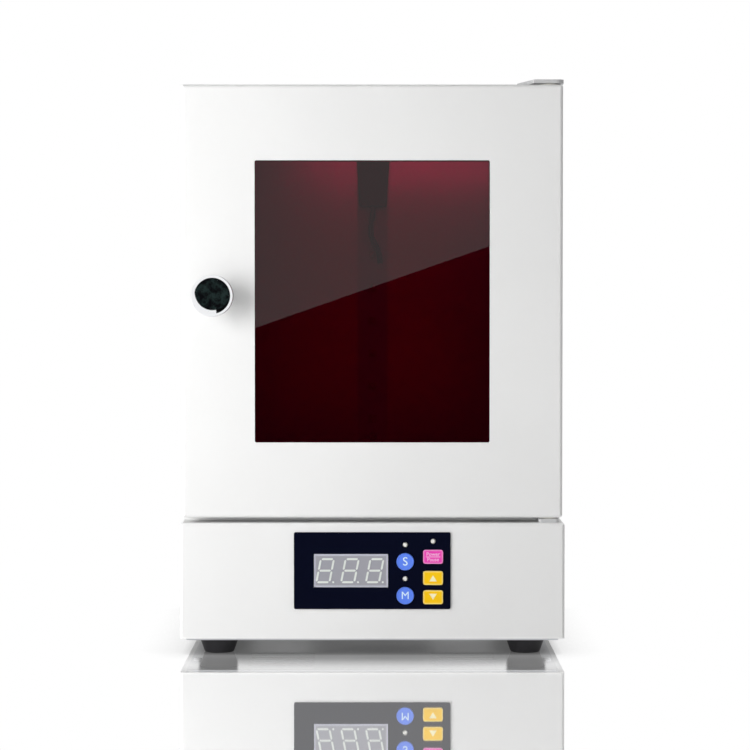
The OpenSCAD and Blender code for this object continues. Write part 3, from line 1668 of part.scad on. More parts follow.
// Upper hinge plate on the cabinet's top, reaching forward over the door
module hinge_top_plate() {
  r = hinge_plate_r;
  color([0.8, 0.81, 0.82])
    difference() {
      translate([0, 0, z_top])
        linear_extrude(hinge_plate_t)
          union() {
            polygon([
              [hinge_plate_x0, hinge_plate_y0], [hinge_plate_x1 - r, hinge_plate_y0],
              [hinge_plate_x1 - r, hinge_plate_y1], [hinge_plate_x0 - hinge_flare, hinge_plate_y1],
              [hinge_plate_x0 - hinge_flare, y_frame + 12]
            ]);
            translate([hinge_plate_x1 - 2 * r, hinge_plate_y0 + r])
              square([2 * r, hinge_plate_l - r]);
            translate([hinge_plate_x1 - r, hinge_plate_y0 + r])
              circle(r);
          }
      translate([x_hinge, y_hinge, z_top - eps])
        cylinder(d = hinge_pin_d + 2 * seat_gap, h = hinge_plate_t + 2 * eps);
      for (p = hinge_top_screw_spots)
        translate([p[0], p[1], z_top + hinge_plate_t])
          flat_hole(m4_flat, hinge_plate_t + eps);
    }
}

// Lower hinge plate on the base's top, under the door
module hinge_bottom_plate() {
  color([0.8, 0.81, 0.82])
    difference() {
      translate([x_hinge, (hinge_foot_y0 + hinge_foot_y1) / 2, z_base1])
        linear_extrude(hinge_plate_t)
          rounded_rect(hinge_foot_w, hinge_foot_y1 - hinge_foot_y0, 2);
      translate([x_hinge, y_hinge, z_base1 - eps])
        cylinder(d = hinge_pin_d + 2 * seat_gap, h = hinge_plate_t + 2 * eps);
      translate([hinge_foot_screw[0], hinge_foot_screw[1], z_base1 + hinge_plate_t])
        flat_hole(m3_flat, hinge_plate_t + eps);
    }
}

// Hinge pins, riveted in the plates
module hinge_pins() {
  color("silver")
    translate([x_hinge, y_hinge, 0]) {
      translate([0, 0, z_door1 - hinge_pin_reach])
        cylinder(d = hinge_pin_d, h = z_top + hinge_plate_t - z_door1 + hinge_pin_reach);
      translate([0, 0, z_base1])
        cylinder(d = hinge_pin_d, h = z_door0 - z_base1 + hinge_pin_reach);
    }
}

// Countersunk screws of both hinge plates
module hinge_screws() {
  color("silver") {
    for (p = hinge_top_screw_spots)
      translate([p[0], p[1], z_top + hinge_plate_t])
        flat_screw(m4_flat, hinge_plate_t + sheet_t + thread_l);
    translate([hinge_foot_screw[0], hinge_foot_screw[1], z_base1 + hinge_plate_t])
      flat_screw(m3_flat, hinge_plate_t + sheet_t + thread_l);
  }
}

// One flanged nylon bush: its flange is below z = 0 and its body above
module hinge_bush() {
  difference() {
    union() {
      translate([0, 0, -bush_flange_t])
        cylinder(d = bush_d, h = bush_l + bush_flange_t);
      translate([0, 0, -bush_flange_t])
        cylinder(d = bush_flange_d, h = bush_flange_t);
    }
    translate([0, 0, -bush_flange_t - eps])
      cylinder(d = hinge_pin_d + 2 * run_gap, h = bush_l + bush_flange_t + 2 * eps);
  }
}

// Nylon bushes in the door's lower and upper edges
module hinge_bushes() {
  color([0.93, 0.92, 0.88])
    translate([x_hinge, y_hinge, 0]) {
      translate([0, 0, z_door0])
        hinge_bush();
      translate([0, 0, z_door1])
        mirror([0, 0, 1])
          hinge_bush();
    }
}

// Round catch magnets set flush in the front frame
module catch_magnets() {
  color([0.55, 0.56, 0.58])
    for (z = magnet_heights)
      rod_y(x_catch, z, y_frame, y_frame + magnet_l, magnet_d);
}

// Steel strike plates on the door's back, one for each magnet
module strike_plates() {
  color([0.7, 0.71, 0.72])
    for (z = magnet_heights)
      translate([x_catch, 0, z])
        along_y(y_door_back, y_frame - gasket_gap)
          rounded_rect(strike_w, strike_l, strike_r);
}

// Sealed door sensor on the wrap's front return
module door_sensor() {
  color([0.12, 0.12, 0.13])
    translate([sensor_x, 0, z_sensor])
      along_y(y_frame_in + sheet_t, y_frame_in + sheet_t + sensor_t)
        rounded_rect(sensor_l, sensor_w, sensor_r);
}

// Magnet inside the door that works the sensor
module sensor_magnet() {
  color([0.5, 0.5, 0.52])
    translate([sensor_x, 0, z_sensor])
      along_y(y_back_plate - sheet_t - sensor_magnet_t, y_back_plate - sheet_t)
        rounded_rect(sensor_l - 4 * sensor_r, sensor_w - sensor_r, 1);
}

// Door shell: a folded tray open at the back, with returns and a welded block at each hinge
module door_shell() {
  wall = sheet_t;
  lap = wall / 2;
  color("whitesmoke")
    difference() {
      union() {
        difference() {
          door_block(door_w, y_front, y_door_back, z_door0, z_door1, bend_r);
          door_block(door_w - 2 * wall, y_front + wall, y_door_back + eps, z_door0 + wall,
            z_door1 - wall, bend_r - wall);
        }
        translate([0, 0, z_door_mid])
          along_y(y_back_plate - wall, y_back_plate)
            difference() {
              rounded_rect(door_w - 2 * lap, door_h - 2 * lap, bend_r - lap);
              square([door_w - 2 * wall - 2 * return_w, door_h - 2 * wall - 2 * return_w],
                center = true);
            }
        for (z = [z_door0 + lap, z_door1 - lap - hinge_block_h])
          translate([x_hinge - hinge_block_s / 2, y_front + lap, z])
            cube([hinge_block_s, hinge_depth + hinge_block_s / 2 - lap, hinge_block_h]);
      }
      translate([0, 0, z_door_mid])
        along_y(y_front - eps, y_front + 2 * wall)
          rounded_rect(window_w, window_h, window_r);
      for (z = [z_door0 - eps, z_door1 - hinge_pin_reach - 1])
        translate([x_hinge, y_hinge, z])
          cylinder(d = bush_d + 2 * seat_gap, h = hinge_pin_reach + 1 + eps);
      rod_y(x_knob, z_knob, y_front - eps, y_front + 2 * wall, m4_pan[0] + 2 * seat_gap);
      for (p = back_screw_spots)
        point_y(p[0], y_back_plate, p[1], -1)
          shank_hole(m3_pan, 2 * wall);
    }
}

// Door back plate, cut out behind the window
module door_back_plate() {
  color("whitesmoke")
    difference() {
      translate([0, 0, z_door_mid])
        along_y(y_back_plate, y_door_back)
          difference() {
            rounded_rect(door_w - 2 * back_setback, door_h - 2 * back_setback, 1);
            rounded_rect(window_w, window_h, window_r);
          }
      for (p = back_screw_spots)
        point_y(p[0], y_door_back, p[1], -1)
          shank_hole(m3_pan, back_t + eps);
    }
}

// Light-blocking red window pane
module window_pane() {
  color([0.55, 0.03, 0.05, 0.7])
    translate([0, 0, z_door_mid])
      along_y(y_pane0, y_pane1)
        rounded_rect(window_w + 2 * pane_lap, window_h + 2 * pane_lap, pane_r);
}

// Angle frame that clamps the pane and lines the way from the window to the chamber
module window_clamp() {
  color("whitesmoke")
    translate([0, 0, z_door_mid])
      difference() {
        union() {
          along_y(y_pane1, y_pane1 + clamp_t)
            rounded_rect(window_w + 2 * pane_lap, window_h + 2 * pane_lap, pane_r);
          along_y(y_pane1, y_back_plate)
            rounded_rect(window_w + 2 * clamp_t, window_h + 2 * clamp_t, window_r + clamp_t);
        }
        along_y(y_pane1 - eps, y_back_plate + eps)
          rounded_rect(window_w, window_h, window_r);
      }
}

// Screws of the door's back plate, and the knob's screw from inside
module door_screws() {
  color("silver") {
    for (p = back_screw_spots)
      point_y(p[0], y_door_back, p[1], -1)
        pan_screw(m3_pan, back_t + sheet_t + thread_l);
    point_y(x_knob, y_front + sheet_t, z_knob, -1)
      pan_screw(m4_pan, knob_screw_l);
  }
}

// Gasket round the chamber mouth, fixed on the door's back plate
module door_gasket() {
  in_w = mouth_w + 2 * gasket_in;
  in_h = z_mouth1 - z_mouth0 + 2 * gasket_in;
  color([0.15, 0.15, 0.15])
    translate([0, 0, z_mouth_mid])
      along_y(y_door_back, y_frame - gasket_gap)
        difference() {
          rounded_rect(in_w + 2 * gasket_w, in_h + 2 * gasket_w, mouth_r + gasket_in + gasket_w);
          rounded_rect(in_w, in_h, mouth_r + gasket_in);
        }
}

// Half profile of the knob, with its axis upright: a domed round head on a waisted stem
module knob_profile() {
  head0 = knob_l - knob_head_t;
  rim_x = knob_d / 2 - knob_rim_r;
  intersection() {
    difference() {
      union() {
        translate([0, head0])
          square([rim_x, knob_head_t]);
        translate([0, head0 + knob_rim_r])
          square([knob_d / 2, knob_head_t - 2 * knob_rim_r]);
        for (y = [head0 + knob_rim_r, knob_l - knob_rim_r])
          translate([rim_x, y])
            circle(knob_rim_r);
        square([knob_foot_d / 2, head0 + eps]);
      }
      translate([knob_foot_d / 2 - 1.5 + knob_waist_r, head0 / 2])
        circle(knob_waist_r);
    }
    translate([0, knob_l - knob_dome_r])
      circle(knob_dome_r);
  }
}

// Polished knob, turned about its own axis and bored for its screw
module knob() {
  color([0.86, 0.87, 0.88])
    translate([x_knob, y_front, z_knob])
      rotate([90, 0, 0])
        difference() {
          rotate_extrude($fn = 96)
            intersection() {
              knob_profile();
              square([knob_d, knob_l]);
            }
          translate([0, 0, -eps])
            cylinder(d = m4_pan[0] + 2 * seat_gap, h = knob_screw_l - sheet_t + 2 * eps);
        }
}

base_housing();
bottom_plate();
feet();
foot_screws();
cabinet_wrap();
front_frame();
rear_panel();
panel_screws();
chamber_floor();
liner_wrap();
liner_roof();
lamp_boards();
lamp_emitters();
heat_sinks();
inner_screws();
fan_frame();
fan_guard();
fan_screws();
fan_rotor();
turntable_motor();
motor_bracket();
motor_shaft();
shaft_bush();
drive_hub();
turntable();
supply_case();
supply_board();
supply_terminals();
inlet_socket();
inlet_pins();
switch_body();
rocker();
control_fascia();
display_module();
display_segments();
indicator_lamps();
control_board();
board_standoffs();
key_switches();
key_set();
key_mode();
key_power();
key_up();
key_down();
hinge_top_plate();
hinge_bottom_plate();
hinge_pins();
hinge_screws();
hinge_bushes();
catch_magnets();
strike_plates();
door_sensor();
sensor_magnet();
door_shell();
door_back_plate();
window_pane();
window_clamp();
door_screws();
door_gasket();
knob();
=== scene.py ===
# %% [markdown]
# A benchtop light curing cabinet, dressed for a studio picture. The engineering model gives every
# sheet, screw and board its true place. This lesson loads that model as a fixed frame, gives each
# piece the finish of the real thing, and models again, more finely, the few pieces that the eye
# rests on: the knob, the feet, the keys, the small lamps, the window and the seal.

# %% Load the frame
import math

import bpy
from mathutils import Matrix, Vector


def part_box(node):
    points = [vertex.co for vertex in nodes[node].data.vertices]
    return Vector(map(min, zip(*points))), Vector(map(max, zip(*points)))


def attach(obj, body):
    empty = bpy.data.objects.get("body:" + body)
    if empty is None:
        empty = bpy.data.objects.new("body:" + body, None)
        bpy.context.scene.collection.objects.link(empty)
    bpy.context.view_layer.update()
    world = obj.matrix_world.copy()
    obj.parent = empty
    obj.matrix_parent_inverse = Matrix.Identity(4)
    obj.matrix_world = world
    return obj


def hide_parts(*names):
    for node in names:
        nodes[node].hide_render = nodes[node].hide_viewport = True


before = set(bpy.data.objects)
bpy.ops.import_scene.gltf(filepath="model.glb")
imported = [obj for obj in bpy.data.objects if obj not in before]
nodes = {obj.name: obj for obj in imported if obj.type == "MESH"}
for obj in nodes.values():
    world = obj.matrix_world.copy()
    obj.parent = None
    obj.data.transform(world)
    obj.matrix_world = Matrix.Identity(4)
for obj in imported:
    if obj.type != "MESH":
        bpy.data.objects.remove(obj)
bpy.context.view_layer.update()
MM = 0.001


# %% [markdown]
# An operator works on whatever is selected, as a hand tool does. So one helper clears the
# selection, one picks a single piece, and one picks faces or edges by where they are.

# %% Helpers for selecting
def clear_selection():
    if bpy.context.object and bpy.context.object.mode != "OBJECT":
        bpy.ops.object.mode_set(mode="OBJECT")
    bpy.ops.object.select_all(action="DESELECT")


def pick(piece):
    clear_selection()
    piece.select_set(True)
    bpy.context.view_layer.objects.active = piece


def choose(piece, kind, test):
    """Selects the faces or edges that pass the test, and leaves the piece in edit mode."""
    pick(piece)
    bpy.ops.object.mode_set(mode="EDIT")
    bpy.ops.mesh.select_mode(type="FACE" if kind == "faces" else "EDGE")
    bpy.ops.mesh.select_all(action="DESELECT")
    bpy.ops.object.mode_set(mode="OBJECT")
    mesh = piece.data
    if kind == "faces":
        for face in mesh.polygons:
            face.select = test(face.center, face.normal)
    else:
        for edge in mesh.edges:
            a, b = (mesh.vertices[i].co for i in edge.vertices)
            edge.select = test(a, b)
    bpy.ops.object.mode_set(mode="EDIT")


def settle(piece):
    """Puts the place, turn and size of a piece into its mesh."""
    pick(piece)
    bpy.ops.object.transform_apply(location=True, rotation=True, scale=True)


SHARP = math.radians(40)


def even_out(piece):
    """Keeps large faces flat to the eye: their normals win over those of the small ones."""
    pick(piece)
    bpy.ops.object.shade_smooth_by_angle(angle=SHARP)
    weights = piece.modifiers.new("weights", "WEIGHTED_NORMAL")
    weights.keep_sharp = True
    weights.weight = 100
    bpy.ops.object.modifier_apply(modifier=weights.name)


def soften(piece, width, segments):
    """Rounds every sharp edge with a bevel, and smooths what is left."""
    pick(piece)
    rounding = piece.modifiers.new("rounding", "BEVEL")
    rounding.width = width * MM
    rounding.segments = segments
    rounding.limit_method = "ANGLE"
    rounding.angle_limit = SHARP
    bpy.ops.object.modifier_apply(modifier=rounding.name)
    even_out(piece)


DOUBLED = 0.002


def mend(piece):
    """Merges doubled points and turns every face outwards."""
    pick(piece)
    bpy.ops.object.mode_set(mode="EDIT")
    bpy.ops.mesh.select_all(action="SELECT")
    bpy.ops.mesh.remove_doubles(threshold=DOUBLED * MM)
    bpy.ops.mesh.normals_make_consistent(inside=False)
    bpy.ops.object.mode_set(mode="OBJECT")


def join(name, pieces):
    clear_selection()
    for piece in pieces:
        piece.select_set(True)
    bpy.context.view_layer.objects.active = pieces[0]
    bpy.ops.object.join()
    whole = bpy.context.object
    whole.name = name
    return whole


def hand_over(piece, body, finish, stands_for=()):
    """Gives a finished piece its material, its body and the nodes that it stands for."""
    piece.data.materials.clear()
    piece.data.materials.append(finish)
    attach(piece, body)
    for node in stands_for:
        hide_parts(node)
    print(piece.name, len(piece.data.polygons), "faces")


# %% [markdown]
# Round pieces are made as on a lathe: a circle is drawn at the foot, and each step of the profile
# extrudes the last ring and scales it. The step list is the same one that a turner would work
# from.

# %% A lathe
def turned(name, profile, place, turn=(0, 0, 0), sides=96, closed_tip=True):
    """Turns a piece from (radius, height) steps in millimetres, then stands it at its place."""
    clear_selection()
    radius, height = profile[0]
    bpy.ops.mesh.primitive_circle_add(
        vertices=sides, radius=radius * MM, fill_type="NGON", location=(0, 0, 0))
    piece = bpy.context.object
    piece.name = name
    bpy.ops.object.mode_set(mode="EDIT")
    bpy.ops.transform.translate(value=(0, 0, height * MM))
    for next_radius, next_height in profile[1:]:
        bpy.ops.mesh.extrude_region_move(
            TRANSFORM_OT_translate={"value": (0, 0, (next_height - height) * MM)})
        ratio = next_radius / radius
        bpy.ops.transform.resize(
            value=(ratio, ratio, 1), center_override=(0, 0, next_height * MM))
        radius, height = next_radius, next_height
    if closed_tip:
        bpy.ops.mesh.merge(type="CENTER")
    bpy.ops.object.mode_set(mode="OBJECT")
    mend(piece)
    piece.rotation_euler = turn
    piece.location = Vector(place)
    settle(piece)
    pick(piece)
    bpy.ops.object.shade_smooth_by_angle(angle=math.radians(30))
    return piece


def arc(centre, radius, start, end, steps):
    """Points of an arc in a profile, from one angle to another, in degrees."""
    return [
        (centre[0] + radius * math.cos(math.radians(start + (end - start) * i / steps)),
         centre[1] + radius * math.sin(math.radians(start + (end - start) * i / steps)))
        for i in range(steps + 1)
    ]


FACING_FRONT = (math.radians(90), 0, 0)
print("an eighth turn in two steps:", arc((0, 0), 1, 0, 45, 2))


# %% [markdown]
# The camera stands where the photographer's stood: about one and a half metres in front of the
# door, level with the window, with a long lens tipped down by less than two degrees. A mirror in
# the picture is set by asking what it sees, so two helpers follow the ray through a pixel: one
# gives its direction, and one follows it from the window pane back into the room.

# %% Camera
CAMERA_PLACE = (0.00158, -1.7, 0.21876)
CAMERA_TIP = 0.0321
CAMERA_TURN = -0.00005
SENSOR, LENS = 36.0, 127.695
PICTURE = 750
bpy.ops.object.camera_add(location=CAMERA_PLACE)
camera = bpy.context.object
camera.name = "photo_camera"
camera.data.sensor_width = SENSOR
camera.data.lens = LENS
camera.data.clip_start = 0.05
camera.data.clip_end = 30
camera.rotation_euler = (math.radians(90) - CAMERA_TIP, 0, CAMERA_TURN)
bpy.context.scene.camera = camera
bpy.context.view_layer.update()
bpy.context.scene.view_settings.view_transform = "Standard"


def sight(px, py):
    """Direction of the ray through a pixel of the square picture."""
    focal = camera.data.lens / camera.data.sensor_width * PICTURE
    middle = PICTURE / 2
    ray = Vector(((px - middle) / focal, (middle - py) / focal, -1))
    return (camera.matrix_world.to_3x3() @ ray).normalized()


def mirrored_in_window(px, py, far_y):
    """Where the ray through a pixel lands on an upright plane, by way of the window pane."""
    start = camera.matrix_world.translation
    ray = sight(px, py)
    pane_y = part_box("window_pane")[0].y
    hit = start + ray * ((pane_y - start.y) / ray.y)
    back = Vector((ray.x, -ray.y, ray.z))
    return hit + back * ((far_y - hit.y) / back.y)


print("tipped down by", round(math.degrees(CAMERA_TIP), 2), "degrees")


# %% [markdown]
# Several finishes share the same small effects, so each effect is a shader node group with named
# sockets. A group gives out only values and masks. The shader that uses them stays in its
# material. Much of a node tree is plain arithmetic, so one helper adds a Math node and fills its
# sockets, each with a number or with a link.

# %% Tools for building node groups
def calc(tree, operation, *values, clamp=False):
    """Adds a Math node. Each value is a number, or the socket that it comes from."""
    made = tree.nodes.new("ShaderNodeMath")
    made.operation = operation
    made.use_clamp = clamp
    for socket, value in zip(made.inputs, values):
        if isinstance(value, (int, float)):
            socket.default_value = value
        else:
            tree.links.new(value, socket)
    return made.outputs[0]


class Group:
    """A shader node group under construction, with its sockets by name."""

    def __init__(self, name, inputs, outputs):
        self.tree = bpy.data.node_groups.new(name, "ShaderNodeTree")
        for label, kind, value in inputs:
            socket = self.tree.interface.new_socket(label, in_out="INPUT", socket_type=kind)
            socket.default_value = value
        for label, kind in outputs:
            self.tree.interface.new_socket(label, in_out="OUTPUT", socket_type=kind)
        self.source = self.tree.nodes.new("NodeGroupInput")
        self.target = self.tree.nodes.new("NodeGroupOutput")

    def node(self, kind, **settings):
        made = self.tree.nodes.new(kind)
        for key, value in settings.items():
            setattr(made, key, value)
        return made

    def link(self, start, end):
        self.tree.links.new(start, end)

    def calc(self, operation, *values, clamp=False):
        return calc(self.tree, operation, *values, clamp=clamp)

    def give(self, label, socket):
        self.link(socket, self.target.inputs[label])

    def show(self):
        print(self.tree.name, "has", len(self.tree.nodes), "nodes")


FLOAT = "NodeSocketFloat"
VECTOR = "NodeSocketVector"
print("a group is built on", FLOAT, "and", VECTOR)


# %% [markdown]
# Textured powder coat, moulded plastic and rubber all have a fine grain over a slower roll. The
# grain group adds two noises of different scale. Its scales are counts per metre, because the
# model is in metres, so a scale of 1500 gives a grain of about two thirds of a millimetre.

# %% Group: grain
grain = Group(
    "surface_grain",
    [("Fine Scale", FLOAT, 1500), ("Broad Scale", FLOAT, 200), ("Broad Share", FLOAT, 0.4)],
    [("Height", FLOAT), ("Variation", FLOAT)])
coordinates = grain.node("ShaderNodeTexCoord")
fine = grain.node("ShaderNodeTexNoise")
fine.inputs["Detail"].default_value = 3
fine.inputs["Roughness"].default_value = 0.6
broad = grain.node("ShaderNodeTexNoise")
broad.inputs["Detail"].default_value = 1
slow = grain.node("ShaderNodeTexNoise")
slow.inputs["Scale"].default_value = 9
slow.inputs["Detail"].default_value = 2
for noise in (fine, broad, slow):
    grain.link(coordinates.outputs["Object"], noise.inputs["Vector"])
grain.link(grain.source.outputs["Fine Scale"], fine.inputs["Scale"])
grain.link(grain.source.outputs["Broad Scale"], broad.inputs["Scale"])
broad_part = grain.calc("MULTIPLY", broad.outputs["Fac"], grain.source.outputs["Broad Share"])
fine_share = grain.calc("SUBTRACT", 1.0, grain.source.outputs["Broad Share"])
fine_part = grain.calc("MULTIPLY", fine.outputs["Fac"], fine_share)
grain.give("Height", grain.calc("ADD", fine_part, broad_part))
grain.give("Variation", slow.outputs["Fac"])
grain.show()


# %% [markdown]
# Some finishes get another colour along their edges: a paler one as painted highlight where
# rounded folds and rims catch the light, and a darker one as painted shade on the hinge plates.
# A point is on an edge of a box when it is near two of the box's faces at once, so the middle one
# of its three distances to the faces is small. The mask is broken up by noise, so the painted
# edge is uneven.

# %% Group: painted edge light and shade
edge_shading = Group(
    "painted_edge_shading",
    [("Centre", VECTOR, (0, 0, 0)), ("Half Size", VECTOR, (0.1, 0.1, 0.1)),
     ("Width", FLOAT, 0.002), ("Patchiness", FLOAT, 0.6)],
    [("Mask", FLOAT)])
coordinates = edge_shading.node("ShaderNodeTexCoord")
offset = edge_shading.node("ShaderNodeVectorMath", operation="SUBTRACT")
edge_shading.link(coordinates.outputs["Object"], offset.inputs[0])
edge_shading.link(edge_shading.source.outputs["Centre"], offset.inputs[1])
folded = edge_shading.node("ShaderNodeVectorMath", operation="ABSOLUTE")
edge_shading.link(offset.outputs[0], folded.inputs[0])
inset = edge_shading.node("ShaderNodeVectorMath", operation="SUBTRACT")
edge_shading.link(edge_shading.source.outputs["Half Size"], inset.inputs[0])
edge_shading.link(folded.outputs[0], inset.inputs[1])
split = edge_shading.node("ShaderNodeSeparateXYZ")
edge_shading.link(inset.outputs[0], split.inputs[0])
near_x, near_y, near_z = split.outputs
least = edge_shading.calc("MINIMUM", edge_shading.calc("MINIMUM", near_x, near_y), near_z)
most = edge_shading.calc("MAXIMUM", edge_shading.calc("MAXIMUM", near_x, near_y), near_z)
total = edge_shading.calc("ADD", edge_shading.calc("ADD", near_x, near_y), near_z)
middle = edge_shading.calc("SUBTRACT", edge_shading.calc("SUBTRACT", total, least), most)
share = edge_shading.calc("DIVIDE", middle, edge_shading.source.outputs["Width"])
close = edge_shading.calc("SUBTRACT", 1.0, share, clamp=True)
patches = edge_shading.node("ShaderNodeTexNoise")
patches.inputs["Scale"].default_value = 120
patches.inputs["Detail"].default_value = 4
edge_shading.link(coordinates.outputs["Object"], patches.inputs["Vector"])
ragged = edge_shading.calc("MULTIPLY", patches.outputs["Fac"], edge_shading.source.outputs["Patchiness"])
even = edge_shading.calc("SUBTRACT", 1.0, edge_shading.source.outputs["Patchiness"])
edge_shading.give("Mask", edge_shading.calc("MULTIPLY", close, edge_shading.calc("ADD", ragged, even), clamp=True))
edge_shading.show()


# %% [markdown]
# Rolled and brushed metal carries fine lines along one direction. The same noise does it when its
# coordinates are squeezed: a small factor along the lines and a large one across them.

# %% Group: brushed lines
lines = Group(
    "brushed_lines",
    [("Stretch", VECTOR, (1, 1, 1)), ("Scale", FLOAT, 600)],
    [("Height", FLOAT), ("Variation", FLOAT)])
coordinates = lines.node("ShaderNodeTexCoord")
squeezed = lines.node("ShaderNodeVectorMath", operation="MULTIPLY")
lines.link(coordinates.outputs["Object"], squeezed.inputs[0])
lines.link(lines.source.outputs["Stretch"], squeezed.inputs[1])
brush = lines.node("ShaderNodeTexNoise")
brush.inputs["Detail"].default_value = 4
lines.link(squeezed.outputs[0], brush.inputs["Vector"])
lines.link(lines.source.outputs["Scale"], brush.inputs["Scale"])
cloud = lines.node("ShaderNodeTexNoise")
cloud.inputs["Scale"].default_value = 14
cloud.inputs["Detail"].default_value = 3
lines.link(coordinates.outputs["Object"], cloud.inputs["Vector"])
lines.give("Height", brush.outputs["Fac"])
lines.give("Variation", cloud.outputs["Fac"])
lines.show()


# %% [markdown]
# A finish is a Principled shader with a few of these effects plugged in. One maker function
# writes the common wiring, and each finish then states only what is its own: two close colours, a
# range of roughness, a bump as its strength and its depth in millimetres, and perhaps an edge
# of another colour, which on the white housing and the oblong keys is a painted highlight and on
# the hinge plates painted shade.

# %% A maker of finishes
COAT_ROUGHNESS = 0.1


def group_node(tree, group, **values):
    made = tree.nodes.new("ShaderNodeGroup")
    made.node_tree = group.tree
    for label, value in values.items():
        made.inputs[label.replace("_", " ").title()].default_value = value
    return made


def colour_blend(tree, factor, first, second):
    blend = tree.nodes.new("ShaderNodeMix")
    blend.data_type = "RGBA"
    tree.links.new(factor, blend.inputs["Factor"])
    for socket, value in ((blend.inputs["A"], first), (blend.inputs["B"], second)):
        if isinstance(value, tuple):
            socket.default_value = (*value, 1)
        else:
            tree.links.new(value, socket)
    return blend.outputs["Result"]


def value_range(tree, value, low, high, start=0.3, end=0.7):
    """Maps start to end onto low to high. Most noise lies between 0.3 and 0.7."""
    stretch = tree.nodes.new("ShaderNodeMapRange")
    stretch.inputs["From Min"].default_value = start
    stretch.inputs["From Max"].default_value = end
    stretch.inputs["To Min"].default_value = low
    stretch.inputs["To Max"].default_value = high
    tree.links.new(value, stretch.inputs["Value"])
    return stretch.outputs["Result"]


def edge(node, colour, width, amount, lap=0.0, patchiness=0.6):
    """Another colour along the edges of a node's box. The lap is a hidden flange round a face."""
    low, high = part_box(node)
    sockets = {"centre": (low + high) / 2, "width": width * MM, "patchiness": patchiness,
               "half_size": (high - low) / 2 - Vector((lap * MM, 0, lap * MM))}
    return colour, amount, sockets


def finish(name, colour, second, roughness, bump, effect=None, painted_edge=None, metallic=0.0,
           coat=0.0, specular=0.5):
    """A material of two close colours with a range of roughness, a bump and perhaps an edge."""
    material = bpy.data.materials.new(name)
    material.use_nodes = True
    tree = material.node_tree
    shader = tree.nodes["Principled BSDF"]
    shader.inputs["Metallic"].default_value = metallic
    shader.inputs["Specular IOR Level"].default_value = specular
    shader.inputs["Coat Weight"].default_value = coat
    shader.inputs["Coat Roughness"].default_value = COAT_ROUGHNESS
    group, values = effect if effect else (grain, {})
    source = group_node(tree, group, **values)
    mottle = value_range(tree, source.outputs["Variation"], 0, 1)
    base = colour_blend(tree, mottle, colour, second)
    # The edge colour is painted along the box's edges, as highlight on some finishes and as shade
    # on others.
    if painted_edge:
        painted_edge_colour, amount, sockets = painted_edge
        mask = group_node(tree, edge_shading, **sockets).outputs["Mask"]
        base = colour_blend(tree, calc(tree, "MULTIPLY", mask, amount), base, painted_edge_colour)
    tree.links.new(base, shader.inputs["Base Color"])
    tree.links.new(
        value_range(tree, source.outputs["Variation"], *roughness), shader.inputs["Roughness"])
    strength, depth = bump
    if strength:
        relief = tree.nodes.new("ShaderNodeBump")
        relief.inputs["Strength"].default_value = strength
        relief.inputs["Distance"].default_value = depth * MM
        tree.links.new(source.outputs["Height"], relief.inputs["Height"])
        tree.links.new(relief.outputs["Normal"], shader.inputs["Normal"])
    return material


def dress(material, *names):
    """Gives the objects of the engineering model's nodes their material."""
    for name in names:
        slots = nodes[name].data.materials
        slots.clear()
        slots.append(material)
    print(material.name, "on", *names)


print("the coat of lacquer has a roughness of", COAT_ROUGHNESS)


# %% [markdown]
# The housing is folded steel under a white powder coat. The powder melts into a fine leathery
# skin. A paler white is painted along the folds as a highlight, where the rounded bends catch
# the light. Each large piece gets its own copy of the finish, because the painted highlight needs
# the box of that piece. The hinge plates are painted a plain grey, with painted shade along
# their edges.

# %% Finish: white powder coat
WHITE = (0.845, 0.845, 0.84)
WHITE_SHADE = (0.815, 0.815, 0.81)
# A paler white, painted along the folds as a highlight where the bends catch the light.
HIGHLIGHT_WHITE = (0.93, 0.93, 0.925)


def powder_coat(node):
    return finish(
        "powder_coat_" + node, WHITE, WHITE_SHADE, (0.42, 0.5), (0.35, 0.12),
        effect=(grain, {"fine_scale": 1500, "broad_scale": 420, "broad_share": 0.55}),
        painted_edge=edge(node, HIGHLIGHT_WHITE, width=1.6, amount=0.8))


for name in ("base_housing", "cabinet_wrap", "front_frame", "rear_panel", "door_shell",
             "door_back_plate", "window_clamp"):
    dress(powder_coat(name), name)
# The darker grey along the hinge plates' edges is painted shade, where the front edge and the
# corner lie in shadow.
hinge_paint = finish(
    "hinge_paint", (0.6, 0.6, 0.605), (0.56, 0.565, 0.57), (0.3, 0.4), (0.15, 0.05),
    effect=(grain, {"fine_scale": 1100, "broad_scale": 300, "broad_share": 0.5}),
    painted_edge=edge("hinge_top_plate", (0.42, 0.42, 0.42), width=0.7, amount=0.6))
dress(hinge_paint, "hinge_top_plate", "hinge_bottom_plate")

# %% [markdown]
# The chamber is lined with satin stainless sheet, which is never quite flat: light from the lamps
# breaks into slow soft waves on it. The plain zinc-plated sheet of the bottom and the supply is
# duller.

# %% Finishes: bare metals
liner_mirror = finish(
    "mirror_liner", (0.8, 0.81, 0.82), (0.74, 0.75, 0.77), (0.27, 0.36), (0.2, 0.5),
    effect=(grain, {"fine_scale": 30, "broad_scale": 11, "broad_share": 0.75}), metallic=1.0)
dress(liner_mirror, "liner_wrap", "liner_roof", "chamber_floor")
table_mirror = finish(
    "turntable_steel", (0.84, 0.85, 0.86), (0.78, 0.79, 0.81), (0.12, 0.22), (0.1, 0.05),
    effect=(lines, {"stretch": (1, 0.04, 1), "scale": 900}), metallic=1.0)
dress(table_mirror, "turntable")
zinc_sheet = finish(
    "zinc_sheet", (0.6, 0.61, 0.63), (0.5, 0.51, 0.54), (0.3, 0.45), (0.12, 0.05),
    effect=(lines, {"stretch": (0.05, 1, 1), "scale": 500}), metallic=1.0)
dress(zinc_sheet, "bottom_plate", "motor_bracket", "supply_case")
